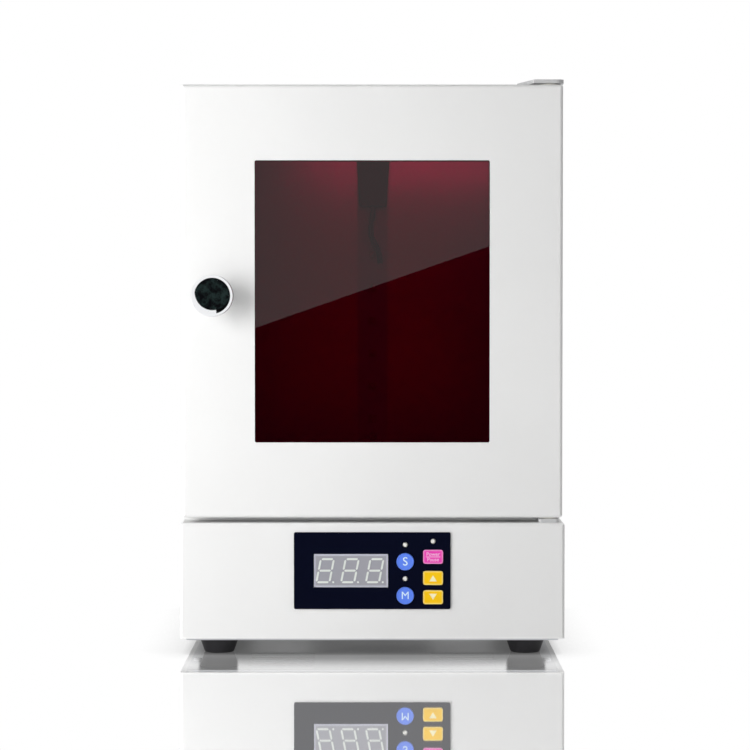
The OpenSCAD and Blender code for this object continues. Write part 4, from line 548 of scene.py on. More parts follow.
zinc_screws = finish(
    "zinc_screws", (0.66, 0.67, 0.69), (0.56, 0.57, 0.6), (0.22, 0.36), (0.1, 0.03),
    effect=(grain, {"fine_scale": 2500, "broad_scale": 900, "broad_share": 0.4}), metallic=1.0)
dress(zinc_screws, "foot_screws", "panel_screws", "inner_screws", "fan_screws", "fan_guard",
      "hinge_screws", "door_screws", "hinge_pins", "strike_plates", "motor_shaft")
motor_can = finish(
    "motor_can", (0.52, 0.53, 0.55), (0.46, 0.47, 0.49), (0.3, 0.42), (0.1, 0.04),
    effect=(lines, {"stretch": (1, 1, 0.05), "scale": 500}), metallic=1.0)
dress(motor_can, "turntable_motor")
magnet_nickel = finish(
    "magnet_nickel", (0.55, 0.54, 0.52), (0.48, 0.47, 0.46), (0.18, 0.3), (0.05, 0.03),
    metallic=1.0)
dress(magnet_nickel, "catch_magnets", "sensor_magnet")
contact_nickel = finish(
    "contact_nickel", (0.72, 0.7, 0.64), (0.62, 0.6, 0.55), (0.2, 0.32), (0.05, 0.03),
    metallic=1.0)
dress(contact_nickel, "inlet_pins")
sink_aluminium = finish(
    "sink_aluminium", (0.62, 0.63, 0.65), (0.55, 0.56, 0.58), (0.35, 0.5), (0.15, 0.05),
    effect=(lines, {"stretch": (1, 0.03, 1), "scale": 700}), metallic=1.0)
dress(sink_aluminium, "heat_sinks")
turned_brass = finish(
    "turned_brass", (0.72, 0.52, 0.22), (0.62, 0.44, 0.18), (0.2, 0.34), (0.06, 0.03),
    effect=(lines, {"stretch": (1, 0.05, 1), "scale": 900}), metallic=1.0)
dress(turned_brass, "board_standoffs")

# %% [markdown]
# Moulded plastics differ by how deeply the mould was etched. Rubber is rougher, and its colour
# varies slowly from place to place.

# %% Finishes: plastics and rubbers
black_plastic = finish(
    "black_plastic", (0.022, 0.022, 0.024), (0.03, 0.03, 0.032), (0.42, 0.56), (0.2, 0.06),
    effect=(grain, {"fine_scale": 1800, "broad_scale": 400, "broad_share": 0.3}))
dress(black_plastic, "fan_frame", "fan_rotor", "drive_hub", "supply_terminals", "inlet_socket",
      "switch_body", "key_switches", "door_sensor")
rocker_plastic = finish(
    "rocker_plastic", (0.018, 0.018, 0.019), (0.024, 0.024, 0.025), (0.2, 0.3), (0.05, 0.03))
dress(rocker_plastic, "rocker")
foot_rubber = finish(
    "foot_rubber", (0.016, 0.015, 0.018), (0.028, 0.027, 0.03), (0.5, 0.68), (0.3, 0.08),
    effect=(grain, {"fine_scale": 2200, "broad_scale": 260, "broad_share": 0.4}))
seal_rubber = finish(
    "seal_rubber", (0.03, 0.03, 0.031), (0.045, 0.045, 0.046), (0.55, 0.72), (0.25, 0.08),
    effect=(grain, {"fine_scale": 1500, "broad_scale": 150, "broad_share": 0.5}))
nylon = finish(
    "natural_nylon", (0.78, 0.76, 0.7), (0.72, 0.7, 0.63), (0.4, 0.5), (0.08, 0.04))
dress(nylon, "shaft_bush", "hinge_bushes")
circuit_green = finish(
    "circuit_green", (0.02, 0.13, 0.045), (0.03, 0.16, 0.06), (0.28, 0.4), (0.15, 0.05),
    effect=(grain, {"fine_scale": 700, "broad_scale": 120, "broad_share": 0.5}), coat=0.3)
dress(circuit_green, "supply_board", "control_board")
lamp_board = finish(
    "lamp_board", (0.64, 0.65, 0.64), (0.58, 0.59, 0.58), (0.3, 0.42), (0.1, 0.04), coat=0.2)
dress(lamp_board, "lamp_boards")
emitter_resin = finish(
    "emitter_resin", (0.55, 0.46, 0.2), (0.62, 0.54, 0.28), (0.12, 0.2), (0.03, 0.03), coat=0.3)
dress(emitter_resin, "lamp_emitters")

# %% [markdown]
# The control fascia is a dark film on plastic. It isn't pure black but a very deep navy, and its
# sheen is soft, so it lightens slowly towards the lower edge. The display behind its cut-out is a
# pale grey block with paler edges and whitish bars. The keys' mouldings are dyed right through,
# and the legends are printed in a paler shade of each.

# %% Finishes: control panel
fascia_film = finish(
    "fascia_film", (0.0012, 0.002, 0.0095), (0.0018, 0.0028, 0.0125), (0.34, 0.42), (0.12, 0.04),
    effect=(grain, {"fine_scale": 2600, "broad_scale": 300, "broad_share": 0.3}), specular=0.03)
dress(fascia_film, "control_fascia")
display_face = finish(
    "display_face", (0.33, 0.33, 0.37), (0.36, 0.36, 0.4), (0.28, 0.36), (0.05, 0.03),
    painted_edge=edge("display_module", (0.68, 0.68, 0.8), width=1.4, amount=1.0, patchiness=0.1),
    specular=0.3)
dress(display_face, "display_module")
segment_resin = finish(
    "segment_resin", (0.7, 0.74, 0.7), (0.76, 0.79, 0.76), (0.3, 0.4), (0.05, 0.03))
dress(segment_resin, "display_segments")
blue_key = finish(
    "blue_key", (0.1, 0.22, 0.86), (0.12, 0.25, 0.92), (0.3, 0.4), (0.08, 0.03), specular=0.25)
FLANGE_LAP = 1.0
# The third colour of each is a painted highlight along the key's rim, where its rounded edge
# catches the light.
PINK = ((0.84, 0.045, 0.44), (0.88, 0.06, 0.48), (0.95, 0.4, 0.72))
YELLOW = ((0.99, 0.57, 0.001), (1.0, 0.61, 0.002), (1.0, 0.8, 0.3))


def oblong_finish(node, colour, second, rim):
    return finish(
        "moulding_" + node, colour, second, (0.3, 0.4), (0.08, 0.03), specular=0.25,
        painted_edge=edge(node, rim, width=1.0, amount=1.0, lap=FLANGE_LAP, patchiness=0.1))


def ink(name, colour, second):
    return finish(name, colour, second, (0.4, 0.5), (0, 0))


pink_key = oblong_finish("key_power", *PINK)
yellow_up = oblong_finish("key_up", *YELLOW)
yellow_down = oblong_finish("key_down", *YELLOW)
blue_legend = ink("blue_legend", (0.72, 0.88, 0.97), (0.76, 0.9, 0.98))
pink_legend = ink("pink_legend", (0.96, 0.6, 0.84), (0.97, 0.66, 0.87))
yellow_legend = ink("yellow_legend", (0.97, 0.86, 0.5), (0.98, 0.9, 0.58))
lamp_resin = finish(
    "lamp_resin", (0.76, 0.76, 0.7), (0.84, 0.84, 0.79), (0.2, 0.3), (0, 0), coat=0.3)


# %% [markdown]
# The knob is a turned brass mushroom with a polished chrome plate. Chrome has hardly a colour of
# its own, so its look is what it mirrors, and its profile decides how that is bent: a waist for
# the fingertips, a full rim and a nearly flat dome. A lathe profile is the natural way to make
# it. The dome is a cap of a large ball, so its steps follow a circle.

# %% Piece: knob
chrome = finish(
    "polished_chrome", (0.88, 0.885, 0.9), (0.86, 0.865, 0.88), (0.02, 0.045), (0.0, 0.0),
    effect=(lines, {"stretch": (1, 1, 1), "scale": 60}), metallic=1.0)
KNOB_HEAD = 9.0
KNOB_NECK = 7.0
KNOB_RIM = 2.2
DOME = 90.0
DOME_RADII = (10.6, 9.4, 8, 6.4, 4.6, 2.8, 1.2, 0.3)
WAIST, WAIST_CENTRE, WAIST_SPREAD = 6.0, 11.5, 41.4
low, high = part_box("knob")
knob_radius = (high.x - low.x) / 2 / MM
knob_reach = (high.y - low.y) / MM
head_foot = knob_reach - KNOB_HEAD
knob_profile = (
    [(KNOB_NECK - 0.4, 0), (KNOB_NECK, 0.4)]
    + arc((WAIST_CENTRE, head_foot / 2), WAIST, 180 + WAIST_SPREAD, 180 - WAIST_SPREAD, 16)
    + [(KNOB_NECK, head_foot - 0.3), (KNOB_NECK + 0.3, head_foot)]
    + arc((knob_radius - KNOB_RIM, head_foot + KNOB_RIM), KNOB_RIM, -90, 0, 10)
    + arc((knob_radius - KNOB_RIM, knob_reach - KNOB_RIM), KNOB_RIM, 0, 66, 8)
    + [(r, knob_reach - DOME + math.sqrt(DOME * DOME - r * r)) for r in DOME_RADII])
knob = turned(
    "pull_knob", knob_profile, ((low.x + high.x) / 2, high.y, (low.z + high.z) / 2),
    turn=FACING_FRONT, sides=128)
hand_over(knob, "door", chrome, ["knob"])

# %% [markdown]
# The feet are moulded rubber cones, hollowed below for the screw. They get a small bead under the
# plate and a rounded tread, which a mould always has, and a straight recess for the screw head.

# %% Piece: feet
FOOT_TOP = 12.0
FOOT_TAPER = math.degrees(math.atan2(3.25, 9))
TREAD, TREAD_CENTRE = 1.2, 7.907
BEAD = 0.3
SCREW_HOLE = 2.1
RECESS, RECESS_DEPTH = 4.5, 5
foot_low, foot_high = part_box("feet")
foot_height = (foot_high.z - foot_low.z) / MM
bead_x = FOOT_TOP - BEAD
foot_profile = (
    [(SCREW_HOLE, foot_height), (SCREW_HOLE, RECESS_DEPTH), (RECESS, RECESS_DEPTH),
     (RECESS, 0.3), (RECESS + 0.3, 0)]
    + arc((TREAD_CENTRE, TREAD), TREAD, -90, -FOOT_TAPER, 8)
    + [(FOOT_TOP - 0.42, foot_height - 1.1), (FOOT_TOP - 0.28, foot_height - 0.9)]
    + arc((bead_x, foot_height - 0.45), BEAD, -50, 60, 6)
    + [(bead_x, foot_height), (SCREW_HOLE, foot_height)])
feet = []
for x in (foot_low.x + FOOT_TOP * MM, foot_high.x - FOOT_TOP * MM):
    for y in (foot_low.y + FOOT_TOP * MM, foot_high.y - FOOT_TOP * MM):
        feet.append(turned("foot", foot_profile, (x, y, 0), sides=64, closed_tip=False))
rubber_feet = join("rubber_feet", feet)
hand_over(rubber_feet, "housing", foot_rubber, ["feet"])

# %% [markdown]
# Each round key is a moulded cap with a narrow raised rim round a face that is sunk by a tenth of
# a millimetre, and with a flange behind the panel that keeps it from falling out.

# %% Piece: round keys
FLANGE_BACK = 1.5
KEY_RIM = 0.55
SUNK = 0.12
CAP_ROUND = 0.3


def round_cap(name, node):
    low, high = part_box(node)
    radius = (high.x - low.x) / 2 / MM - FLANGE_LAP
    reach = (high.y - low.y) / MM
    flange = radius + FLANGE_LAP
    profile = (
        [(flange - 0.1, 0), (flange, 0.1), (flange, FLANGE_BACK), (radius, FLANGE_BACK),
         (radius, reach - 0.4)]
        + arc((radius - CAP_ROUND, reach - CAP_ROUND), CAP_ROUND, 0, 90, 4)
        + [(radius - KEY_RIM, reach), (radius - KEY_RIM - 0.2, reach - SUNK),
           (radius - 1.6, reach - SUNK), (radius / 2, reach - 0.1), (0.4, reach - 0.09)])
    cap = turned(name, profile, ((low.x + high.x) / 2, high.y, (low.z + high.z) / 2),
                 turn=FACING_FRONT, sides=72)
    hand_over(cap, node, blue_key, [node])
    return low, high


set_box = round_cap("set_cap", "key_set")
mode_box = round_cap("mode_cap", "key_mode")


# %% [markdown]
# The oblong keys start from a cube of the cap's size. Its four upright corners are rounded, its
# front is inset and sunk to leave a rim, and a bevel takes the sharpness off every edge that is
# left.

# %% Piece: oblong keys
def plate(name, size, place, corner):
    """A rounded plate facing the front: a cube whose four edges along Y are bevelled."""
    clear_selection()
    bpy.ops.mesh.primitive_cube_add(size=1, location=place, scale=[s * MM for s in size])
    made = bpy.context.object
    made.name = name
    settle(made)
    choose(made, "edges", lambda a, b: abs(a.y - b.y) > 0.5 * size[1] * MM)
    bpy.ops.mesh.bevel(offset=corner * MM, segments=6, affect="EDGES", profile=0.5)
    bpy.ops.object.mode_set(mode="OBJECT")
    return made


def sink_front(piece, rim, depth):
    """Insets the foremost face and sinks it."""
    front = min(v.co.y for v in piece.data.vertices)
    choose(piece, "faces", lambda c, n: n.y < -0.9 and abs(c.y - front) < 1e-5)
    bpy.ops.mesh.inset(thickness=rim * MM)
    bpy.ops.transform.translate(value=(0, depth * MM, 0))
    bpy.ops.object.mode_set(mode="OBJECT")


CAP_CORNER, FLANGE_CORNER = 1.2, 2


def oblong_cap(name, node, material):
    low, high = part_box(node)
    centre = (low + high) / 2
    width = (high.x - low.x) / MM - 2 * FLANGE_LAP
    height = (high.z - low.z) / MM - 2 * FLANGE_LAP
    depth = (high.y - low.y) / MM - FLANGE_BACK
    cap = plate(
        name, (width, depth, height), (centre.x, low.y + depth / 2 * MM, centre.z), CAP_CORNER)
    sink_front(cap, KEY_RIM, SUNK)
    soften(cap, 0.18, 2)
    flange = plate(
        name + "_flange", (width + 2 * FLANGE_LAP, FLANGE_BACK, height + 2 * FLANGE_LAP),
        (centre.x, high.y - FLANGE_BACK / 2 * MM, centre.z), FLANGE_CORNER)
    soften(flange, 0.15, 1)
    whole = join(name, [cap, flange])
    hand_over(whole, node, material, [node])
    return low, high


power_box = oblong_cap("power_cap", "key_power", pink_key)
up_box = oblong_cap("up_cap", "key_up", yellow_up)
down_box = oblong_cap("down_cap", "key_down", yellow_down)


# %% [markdown]
# The legends are printed, so they are only as thick as a layer of ink. A text object is converted
# to a mesh first, because its place can't be put into a text. An arrow is a three-sided circle.

# %% Piece: key legends
INK = 0.03


def lay_on_key(piece, box, dz):
    """Turns a flat drawing to face the front and lays it on the sunk face of a key."""
    low, high = box
    pick(piece)
    piece.rotation_euler = FACING_FRONT
    piece.location = (
        (low.x + high.x) / 2, low.y + (SUNK - INK) * MM, (low.z + high.z) / 2 + dz * MM)
    settle(piece)


def legend(name, words, height, box, dz, body, material, bold=0.0):
    clear_selection()
    bpy.ops.object.text_add(location=(0, 0, 0))
    text = bpy.context.object
    text.data.body = words
    text.data.align_x = "CENTER"
    text.data.align_y = "CENTER"
    text.data.size = height * MM
    text.data.offset = bold * MM
    text.data.resolution_u = 4
    bpy.ops.object.convert(target="MESH")
    piece = bpy.context.object
    piece.name = name
    lay_on_key(piece, box, dz)
    hand_over(piece, body, material)


WORD = 3.1
legend("set_letter", "S", 7.2, set_box, 0.0, "key_set", blue_legend, bold=0.02)
legend("mode_letter", "M", 6.5, mode_box, 0.0, "key_mode", blue_legend)
legend("power_word", "Power", WORD, power_box, 1.55, "key_power", pink_legend)
legend("pause_word", "Pause", WORD, power_box, -1.7, "key_power", pink_legend)
ARROW_WIDTH, ARROW_HEIGHT = 4.6, 3.7


def arrow(name, box, body, points_up):
    """A triangle from a circle of three sides, which is 1.732 radii wide and 1.5 high."""
    clear_selection()
    bpy.ops.mesh.primitive_circle_add(vertices=3, radius=MM, fill_type="NGON")
    piece = bpy.context.object
    piece.name = name
    tall = ARROW_HEIGHT if points_up else -ARROW_HEIGHT
    piece.scale = (ARROW_WIDTH / 1.732, tall / 1.5, 1)
    settle(piece)
    if not points_up:
        pick(piece)
        bpy.ops.object.mode_set(mode="EDIT")
        bpy.ops.mesh.select_all(action="SELECT")
        bpy.ops.mesh.flip_normals()
        bpy.ops.object.mode_set(mode="OBJECT")
    lay_on_key(piece, box, -0.8 if points_up else 0.95)
    hand_over(piece, body, yellow_legend)


arrow("up_arrow", up_box, "key_up", True)
arrow("down_arrow", down_box, "key_down", False)
RULE = (8.6, 0.34)
clear_selection()
bpy.ops.mesh.primitive_plane_add(size=1)
rule_line = bpy.context.object
rule_line.name = "power_rule"
rule_line.scale = (RULE[0] * MM, RULE[1] * MM, 1)
settle(rule_line)
lay_on_key(rule_line, power_box, -0.05)
hand_over(rule_line, "key_power", pink_legend)

# %% [markdown]
# The three indicator lamps are small domed resin bodies on the board, seen through close holes.
# Each is turned with a collar at the board and a round nose.

# %% Piece: indicator lamps
COLLAR, COLLAR_HEIGHT = 1.9, 2.5
NOSE = 1.5
ABOVE_KEY = ((set_box, 10.1), (mode_box, 10.1), (power_box, 9.2))
lamp_low, lamp_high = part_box("indicator_lamps")
lamp_reach = (lamp_high.y - lamp_low.y) / MM
nose_foot = lamp_reach - 1.1
lamp_profile = (
    [(COLLAR, 0), (COLLAR, COLLAR_HEIGHT - 0.1), (COLLAR - 0.1, COLLAR_HEIGHT),
     (NOSE, COLLAR_HEIGHT), (NOSE, nose_foot)]
    + arc((0, nose_foot), NOSE, 8, 80, 8))
lamp_profile = [(r, min(h, lamp_reach)) for r, h in lamp_profile]
lamps = []
for (low, high), rise in ABOVE_KEY:
    place = ((low.x + high.x) / 2, lamp_high.y, (low.z + high.z) / 2 + rise * MM)
    lamps.append(turned("lamp", lamp_profile, place, turn=FACING_FRONT, sides=32))
indicator = join("indicator_noses", lamps)
hand_over(indicator, "housing", lamp_resin, ["indicator_lamps"])

# %% [markdown]
# The window is a sheet of dark red acrylic that stops blue and ultraviolet light. It is a solid
# slab with polished edges: its tint belongs to the shader's own colour, and its reflection to its
# index of refraction of 1.49.

# %% Piece: window pane
ACRYLIC_INDEX = 1.49
RED, DEEPER_RED = (0.2, 0.0014, 0.022), (0.18, 0.0011, 0.018)
PANE_CORNER = 2
pane_low, pane_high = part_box("window_pane")
pane_size = (pane_high - pane_low) / MM
pane = plate("red_pane", pane_size, (pane_low + pane_high) / 2, PANE_CORNER)
soften(pane, 0.25, 2)
red_acrylic = bpy.data.materials.new("red_acrylic")
red_acrylic.use_nodes = True
tree = red_acrylic.node_tree
shader = tree.nodes["Principled BSDF"]
shader.inputs["Transmission Weight"].default_value = 1.0
shader.inputs["IOR"].default_value = ACRYLIC_INDEX
shader.inputs["Metallic"].default_value = 0.0
smudge = group_node(tree, grain, fine_scale=40, broad_scale=14, broad_share=0.7)
smears = smudge.outputs["Variation"]
tree.links.new(colour_blend(tree, smears, DEEPER_RED, RED), shader.inputs["Base Color"])
tree.links.new(value_range(tree, smears, 0.0, 0.012), shader.inputs["Roughness"])
hand_over(pane, "door", red_acrylic, ["window_pane"])

# %% [markdown]
# The seal is an extruded rubber strip bent round the chamber's mouth and joined into one ring. A
# plate with rounded corners is inset to make the ring, its middle is removed, and it is drawn out
# to its depth. The free edge is then rounded into a soft lip.

# %% Piece: door seal
SEAL_CORNER, SEAL_WIDTH, SEAL_LIP = 11, 5, 1.3
seal_low, seal_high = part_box("door_gasket")
clear_selection()
bpy.ops.mesh.primitive_plane_add(
    size=1, location=((seal_low.x + seal_high.x) / 2, seal_low.y, (seal_low.z + seal_high.z) / 2),
    rotation=FACING_FRONT)
seal = bpy.context.object
seal.name = "door_seal"
seal.scale = (seal_high.x - seal_low.x, seal_high.z - seal_low.z, 1)
settle(seal)
choose(seal, "faces", lambda c, n: True)
bpy.ops.mesh.bevel(offset=SEAL_CORNER * MM, segments=10, affect="VERTICES")
bpy.ops.mesh.select_all(action="SELECT")
bpy.ops.mesh.inset(thickness=SEAL_WIDTH * MM)
bpy.ops.mesh.delete(type="FACE")
bpy.ops.mesh.select_all(action="SELECT")
bpy.ops.mesh.extrude_region_move(
    TRANSFORM_OT_translate={"value": (0, seal_high.y - seal_low.y, 0)})
bpy.ops.object.mode_set(mode="OBJECT")
mend(seal)
choose(seal, "edges", lambda a, b: min(a.y, b.y) > seal_high.y - 1e-5)
bpy.ops.mesh.bevel(offset=SEAL_LIP * MM, segments=4, affect="EDGES")
bpy.ops.object.mode_set(mode="OBJECT")
pick(seal)
bpy.ops.object.shade_smooth_by_angle(angle=SHARP)
hand_over(seal, "door", seal_rubber, ["door_gasket"])

# %% [markdown]
# A rocker switch carries two moulded marks, a line for on and a ring for off, inlaid in white.
# Each is drawn flat, an inset circle or a rounded bar, and is then laid on its own wing of the
# rocker. The wing's middle and slope are measured from its faces.

# %% Piece: rocker marks
ink_white = ink("white_ink", (0.8, 0.8, 0.78), (0.74, 0.74, 0.72))
RING_RADIUS = 1.9
RING_WIDTH = 0.45
BAR = (0.55, 3.8)


def wing(test):
    """Middle and normal of the rocker's faces that pass the test."""
    area, middle, normal = 0.0, Vector(), Vector()
    for face in nodes["rocker"].data.polygons:
        if test(face.normal):
            area += face.area
            middle += face.center * face.area
            normal += face.normal * face.area
    return middle / area, normal.normalized()


def lay_on_wing(piece, place):
    middle, normal = place
    piece.rotation_euler = normal.to_track_quat("Z", "Y").to_euler()
    piece.location = middle + normal * INK * MM
    settle(piece)


clear_selection()
bpy.ops.mesh.primitive_circle_add(vertices=40, radius=RING_RADIUS * MM, fill_type="NGON")
off_ring = bpy.context.object
off_ring.name = "off_ring"
choose(off_ring, "faces", lambda c, n: True)
bpy.ops.mesh.inset(thickness=RING_WIDTH * MM)
bpy.ops.mesh.delete(type="FACE")
bpy.ops.object.mode_set(mode="OBJECT")
lay_on_wing(off_ring, wing(lambda n: 0.15 < n.z < 0.4 and n.y > 0.9))
hand_over(off_ring, "rocker", ink_white)
clear_selection()
bpy.ops.mesh.primitive_plane_add(size=1)
on_line = bpy.context.object
on_line.name = "on_line"
on_line.scale = (BAR[0] * MM, BAR[1] * MM, 1)
settle(on_line)
choose(on_line, "faces", lambda c, n: True)
bpy.ops.mesh.bevel(offset=0.12 * MM, segments=2, affect="VERTICES")
bpy.ops.object.mode_set(mode="OBJECT")
lay_on_wing(on_line, wing(lambda n: abs(n.z) < 0.1 and n.y > 0.9))
hand_over(on_line, "rocker", ink_white)

# %% [markdown]
# Through the window one dark thing shows high on the rear wall. Such units have a heat sensor
# there: a moulded cover over the end of the lamp board, and a stiff stem that bends down and
# aside to its bead. The cover is a cube whose lower end is drawn in, and the stem is one smooth
# curve with a thickness.

# %% Piece: heat sensor
COVER = (22.0, 8.4, 34.0)
COVER_CORNER = 1.6
COVER_NARROWING = 0.84
COVER_PLACE = Vector((0.4, 83.8, 291.0))
STEM = [(0.4, 276), (0.3, 270), (-0.4, 265), (-1.2, 260), (-1.0, 255.5), (1.0, 250),
        (3.6, 245.4), (4.8, 241), (5.0, 236)]
STEM_RADIUS = 1.9
STEM_Y = 82.0
cover = plate("sensor_cover", COVER, COVER_PLACE * MM, COVER_CORNER)
bottom = (COVER_PLACE.z - COVER[2] / 2) * MM
choose(cover, "edges", lambda a, b: max(a.z, b.z) < bottom + 2 * MM)
bpy.ops.transform.resize(value=(COVER_NARROWING, 1, 1), center_override=COVER_PLACE * MM)
bpy.ops.object.mode_set(mode="OBJECT")
soften(cover, 0.8, 3)
curve = bpy.data.curves.new("sensor_stem", "CURVE")
curve.dimensions = "3D"
curve.bevel_depth = STEM_RADIUS * MM
curve.bevel_resolution = 5
curve.use_fill_caps = True
spline = curve.splines.new("POLY")
spline.points.add(len(STEM) - 1)
for point, (x, z) in zip(spline.points, STEM):
    point.co = (x * MM, STEM_Y * MM, z * MM, 1)
stem = bpy.data.objects.new("sensor_stem", curve)
bpy.context.scene.collection.objects.link(stem)
pick(stem)
bpy.ops.object.convert(target="MESH")
stem = bpy.context.object
mend(stem)
rounding = stem.modifiers.new("rounding", "SUBSURF")
rounding.levels = rounding.render_levels = 1
bpy.ops.object.modifier_apply(modifier=rounding.name)
sensor = join("heat_sensor", [cover, stem])
even_out(sensor)
hand_over(sensor, "housing", black_plastic)

# %% [markdown]
# The stage is a glossy white table. Seen at a low angle near the cabinet it mirrors strongly, and
# from above or farther off it is plain white. Its white is its own colour, so no lamp has to be
# turned up for it, and a soft shadow under the cabinet keeps it on the ground. The mirrored gap
# under the cabinet is veiled, as if the room's light lay on the table. Two strips before the feet
# are left clear, so that the feet's own reflections stay dark. They lean inwards towards the
# viewer, as lines of sight do. The nearness of other things comes from ambient occlusion.

# %% Stage: table
FRONT_FEET_Y = -0.1
STRIP_LEAN = 0.052
VEIL = 0.75
FOOT_X = foot_high.x - FOOT_TOP * MM
clear_selection()
bpy.ops.mesh.primitive_plane_add(size=12, location=(0, 0, 0))
table = bpy.context.object
table.name = "studio_table"
gloss_table = bpy.data.materials.new("gloss_table")
gloss_table.use_nodes = True
tree = gloss_table.node_tree
tree.nodes.remove(tree.nodes["Principled BSDF"])


def openness(tree, distance):
    """One on the open table, and less where something stands nearer than the distance."""
    occlusion = tree.nodes.new("ShaderNodeAmbientOcclusion")
    occlusion.inputs["Distance"].default_value = distance
    occlusion.samples = 8
    return occlusion.outputs["AO"]


def shader_blend(tree, factor, first, second):
    blend = tree.nodes.new("ShaderNodeMixShader")
    for socket, value in zip(blend.inputs, (factor, first, second)):
        tree.links.new(value, socket)
    return blend.outputs[0]


def seen_by(tree, *labels):
    """One where the ray is of one of these kinds, from a Light Path node."""
    paths = tree.nodes.new("ShaderNodeLightPath")
    seen = paths.outputs[labels[0]]
    for label in labels[1:]:
        seen = calc(tree, "MAXIMUM", seen, paths.outputs[label])
    return seen


near = openness(tree, 0.04)
wide = openness(tree, 0.09)
facing = tree.nodes.new("ShaderNodeLayerWeight")
facing.inputs["Blend"].default_value = 0.5
spot = tree.nodes.new("ShaderNodeTexCoord").outputs["Object"]
reach = tree.nodes.new("ShaderNodeVectorMath")
reach.operation = "LENGTH"
tree.links.new(spot, reach.inputs[0])
place = tree.nodes.new("ShaderNodeSeparateXYZ")
tree.links.new(spot, place.inputs[0])
veil = calc(
    tree, "MINIMUM", value_range(tree, wide, 0.0, VEIL, start=0.62, end=0.87),
    value_range(tree, wide, VEIL, 0.0, start=0.9, end=0.985))
nearness = calc(tree, "SUBTRACT", place.outputs["Y"], FRONT_FEET_Y)
strip = calc(tree, "ADD", calc(tree, "MULTIPLY", nearness, STRIP_LEAN), FOOT_X)
from_strip = calc(tree, "SUBTRACT", calc(tree, "ABSOLUTE", place.outputs["X"]), strip)
beside_foot = value_range(
    tree, calc(tree, "ABSOLUTE", from_strip), 0.0, 1.0, start=0.0105, end=0.012)
share = value_range(tree, near, 0.35, 0.83, start=0.1, end=0.8)
for factor in (
        value_range(tree, facing.outputs["Facing"], 0.0, 1.0, start=0.5, end=0.75),
        calc(tree, "SUBTRACT", 1.0, calc(tree, "MULTIPLY", veil, beside_foot)),
        value_range(tree, reach.outputs["Value"], 1.0, 0.0, start=0.45, end=0.65)):
    share = calc(tree, "MULTIPLY", share, factor)
mirror = tree.nodes.new("ShaderNodeBsdfGlossy")
mirror.inputs["Roughness"].default_value = 0.02
mirror.inputs["Color"].default_value = (1, 1, 1, 1)
glow = tree.nodes.new("ShaderNodeEmission")
tree.links.new(value_range(tree, near, 0.11, 1.0, start=0.15, end=0.85), glow.inputs["Strength"])
plain = tree.nodes.new("ShaderNodeBsdfDiffuse")
plain.inputs["Color"].default_value = (0.92, 0.92, 0.92, 1)
sheen = shader_blend(tree, share, glow.outputs[0], mirror.outputs[0])
surface = shader_blend(
    tree, seen_by(tree, "Is Camera Ray", "Is Glossy Ray"), plain.outputs[0], sheen)
tree.links.new(surface, tree.nodes["Material Output"].inputs["Surface"])
table.data.materials.append(gloss_table)
print("the table's material has", len(tree.nodes), "nodes")

# %% [markdown]
# The world is white to the camera, to mirrors and through glass, and a dimmer grey to matt
# surfaces, which it fills with soft light. A large softbox at the front left gives the door its
# slow fall of light to the right, and a weak one stands low at the front for the base. A third
# one, behind and above, lights the rear and the top. A small lamp glows in the chamber, and it
# alone shows in mirrors, because the steel liner can't be seen by any other light.

# %% World and lamps
FILL = 0.22
world = bpy.data.worlds.new("studio")
bpy.context.scene.world = world
world.use_nodes = True
tree = world.node_tree
background = tree.nodes["Background"]
background.inputs["Color"].default_value = (1, 1, 1, 1)
seen = seen_by(tree, "Is Camera Ray", "Is Glossy Ray", "Is Transmission Ray")
tree.links.new(
    value_range(tree, seen, FILL, 1.0, start=0.0, end=1.0), background.inputs["Strength"])


def softbox(name, place, target, width, height, power, in_mirrors=False):
    """A lamp of a size in metres and a power in watts, turned towards its target."""
    clear_selection()
    bpy.ops.object.light_add(type="AREA", location=place)
    lamp = bpy.context.object
    lamp.name = name
    lamp.data.shape = "RECTANGLE"
    lamp.data.size = width
    lamp.data.size_y = height
    lamp.data.energy = power
    aim = Vector(target) - Vector(place)
    lamp.rotation_euler = aim.to_track_quat("-Z", "Y").to_euler()
    lamp.visible_camera = False
    lamp.visible_transmission = False
    lamp.visible_glossy = in_mirrors
    print(name, power, "W")


softbox("key_softbox", (-0.62, -0.58, 0.3), (0, -0.1, 0.14), 0.8, 0.5, power=6.3)
softbox("front_softbox", (0.1, -1.9, 0.17), (0, -0.1, 0.09), 0.4, 0.2, power=2.4)
softbox("rear_softbox", (0.12, 0.95, 1.1), (0, 0, 0.25), 0.6, 0.6, power=12.0)
softbox("chamber_glow", (0.03, -0.06, 0.312), (0.03, 0.09, 0.28), 0.16, 0.02, power=0.024,
        in_mirrors=True)

# %% [markdown]
# A mirror shows the room, so dark flags and a pale card stand before the cabinet, as they would
# in a studio. A round flag is near the knob. Another blackens the lower part of the window, under
# the pale card, and their common edge crosses the window as a slanting line. Only mirrors see
# them. Their corners are found from the pixels of the picture at which they have to show.

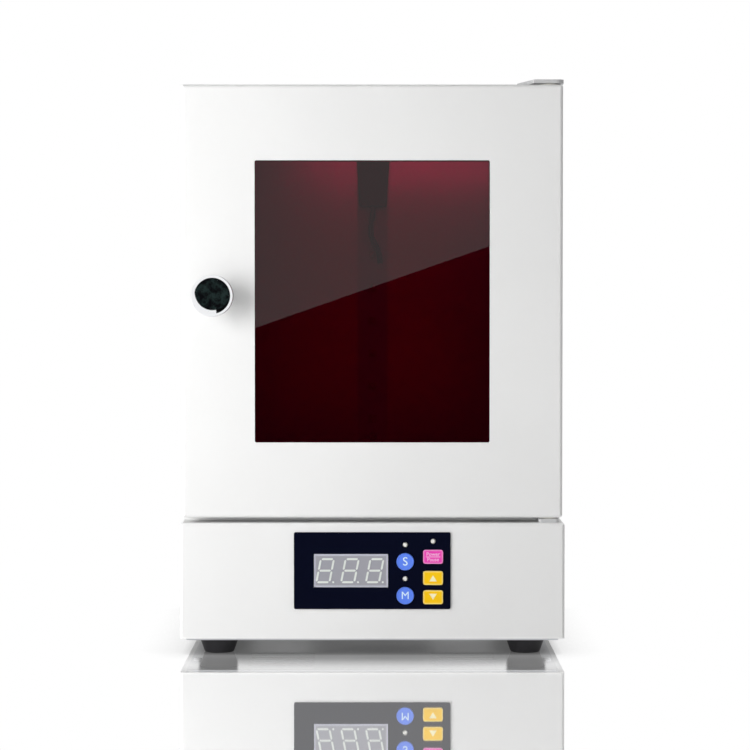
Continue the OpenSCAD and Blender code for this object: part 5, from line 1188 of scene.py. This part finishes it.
# %% Stage: what the mirrors see
def mirror_card(card, name, strength, glint=None, farthest=None):
    """Makes a flat mesh into a card of its own brightness. A glint mottles it with two colours.
    With a farthest distance, only a mirror nearer than that shows it, so it stays out of the
    window."""
    card.name = name
    material = bpy.data.materials.new(name + "_card")
    material.use_nodes = True
    tree = material.node_tree
    tree.nodes.remove(tree.nodes["Principled BSDF"])
    glow = tree.nodes.new("ShaderNodeEmission")
    glow.inputs["Color"].default_value = (1, 1, 1, 1)
    glow.inputs["Strength"].default_value = strength
    if glint:
        cloud = group_node(tree, grain, fine_scale=500, broad_scale=110, broad_share=0.6)
        mottle = value_range(tree, cloud.outputs["Height"], 0.0, 1.0, start=0.42, end=0.62)
        tree.links.new(colour_blend(tree, mottle, *glint), glow.inputs["Color"])
    surface = glow.outputs[0]
    if farthest:
        length = tree.nodes.new("ShaderNodeLightPath").outputs["Ray Length"]
        too_far = value_range(tree, length, 0.0, 1.0, start=farthest - 0.0001, end=farthest)
        clear = tree.nodes.new("ShaderNodeBsdfTransparent").outputs[0]
        surface = shader_blend(tree, too_far, surface, clear)
    tree.links.new(surface, tree.nodes["Material Output"].inputs["Surface"])
    card.data.materials.append(material)
    card.visible_camera = False
    card.visible_diffuse = False
    card.visible_transmission = False
    card.visible_shadow = False
    card.visible_volume_scatter = False
    print(name, "shines at", strength)


CARD_Y = -0.6
LEFT, RIGHT, TOP, BOTTOM = 250, 495, 150, 450
EDGE_LEFT, EDGE_RIGHT = 329.8, 244.3
KNOB_FLAG_PLACE = (-0.0963, -0.178, 0.2186)
KNOB_FLAG_RADIUS = 0.0201
KNOB_FLAG_REACH = 0.057
KNOB_FLAG_GLINT = ((0.004, 0.004, 0.005), (0.02, 0.034, 0.032))


def card_in_window(name, pixels, strength):
    """A four-cornered card that shows in the window at four pixels of the picture."""
    clear_selection()
    bpy.ops.mesh.primitive_plane_add(size=1)
    card = bpy.context.object
    order = (0, 1, 3, 2)
    for index, (px, py) in zip(order, pixels):
        card.data.vertices[index].co = mirrored_in_window(px, py, CARD_Y)
    mirror_card(card, name, strength)


slant = [(RIGHT, EDGE_RIGHT), (LEFT, EDGE_LEFT)]
card_in_window("window_flag", [(LEFT, BOTTOM), (RIGHT, BOTTOM), *slant], 0.004)
card_in_window("pale_card", [*reversed(slant), (RIGHT, TOP), (LEFT, TOP)], 0.78)
clear_selection()
bpy.ops.mesh.primitive_circle_add(
    vertices=64, radius=KNOB_FLAG_RADIUS, fill_type="NGON", location=KNOB_FLAG_PLACE,
    rotation=FACING_FRONT)
mirror_card(
    bpy.context.object, "knob_flag", 1.0, glint=KNOB_FLAG_GLINT, farthest=KNOB_FLAG_REACH)
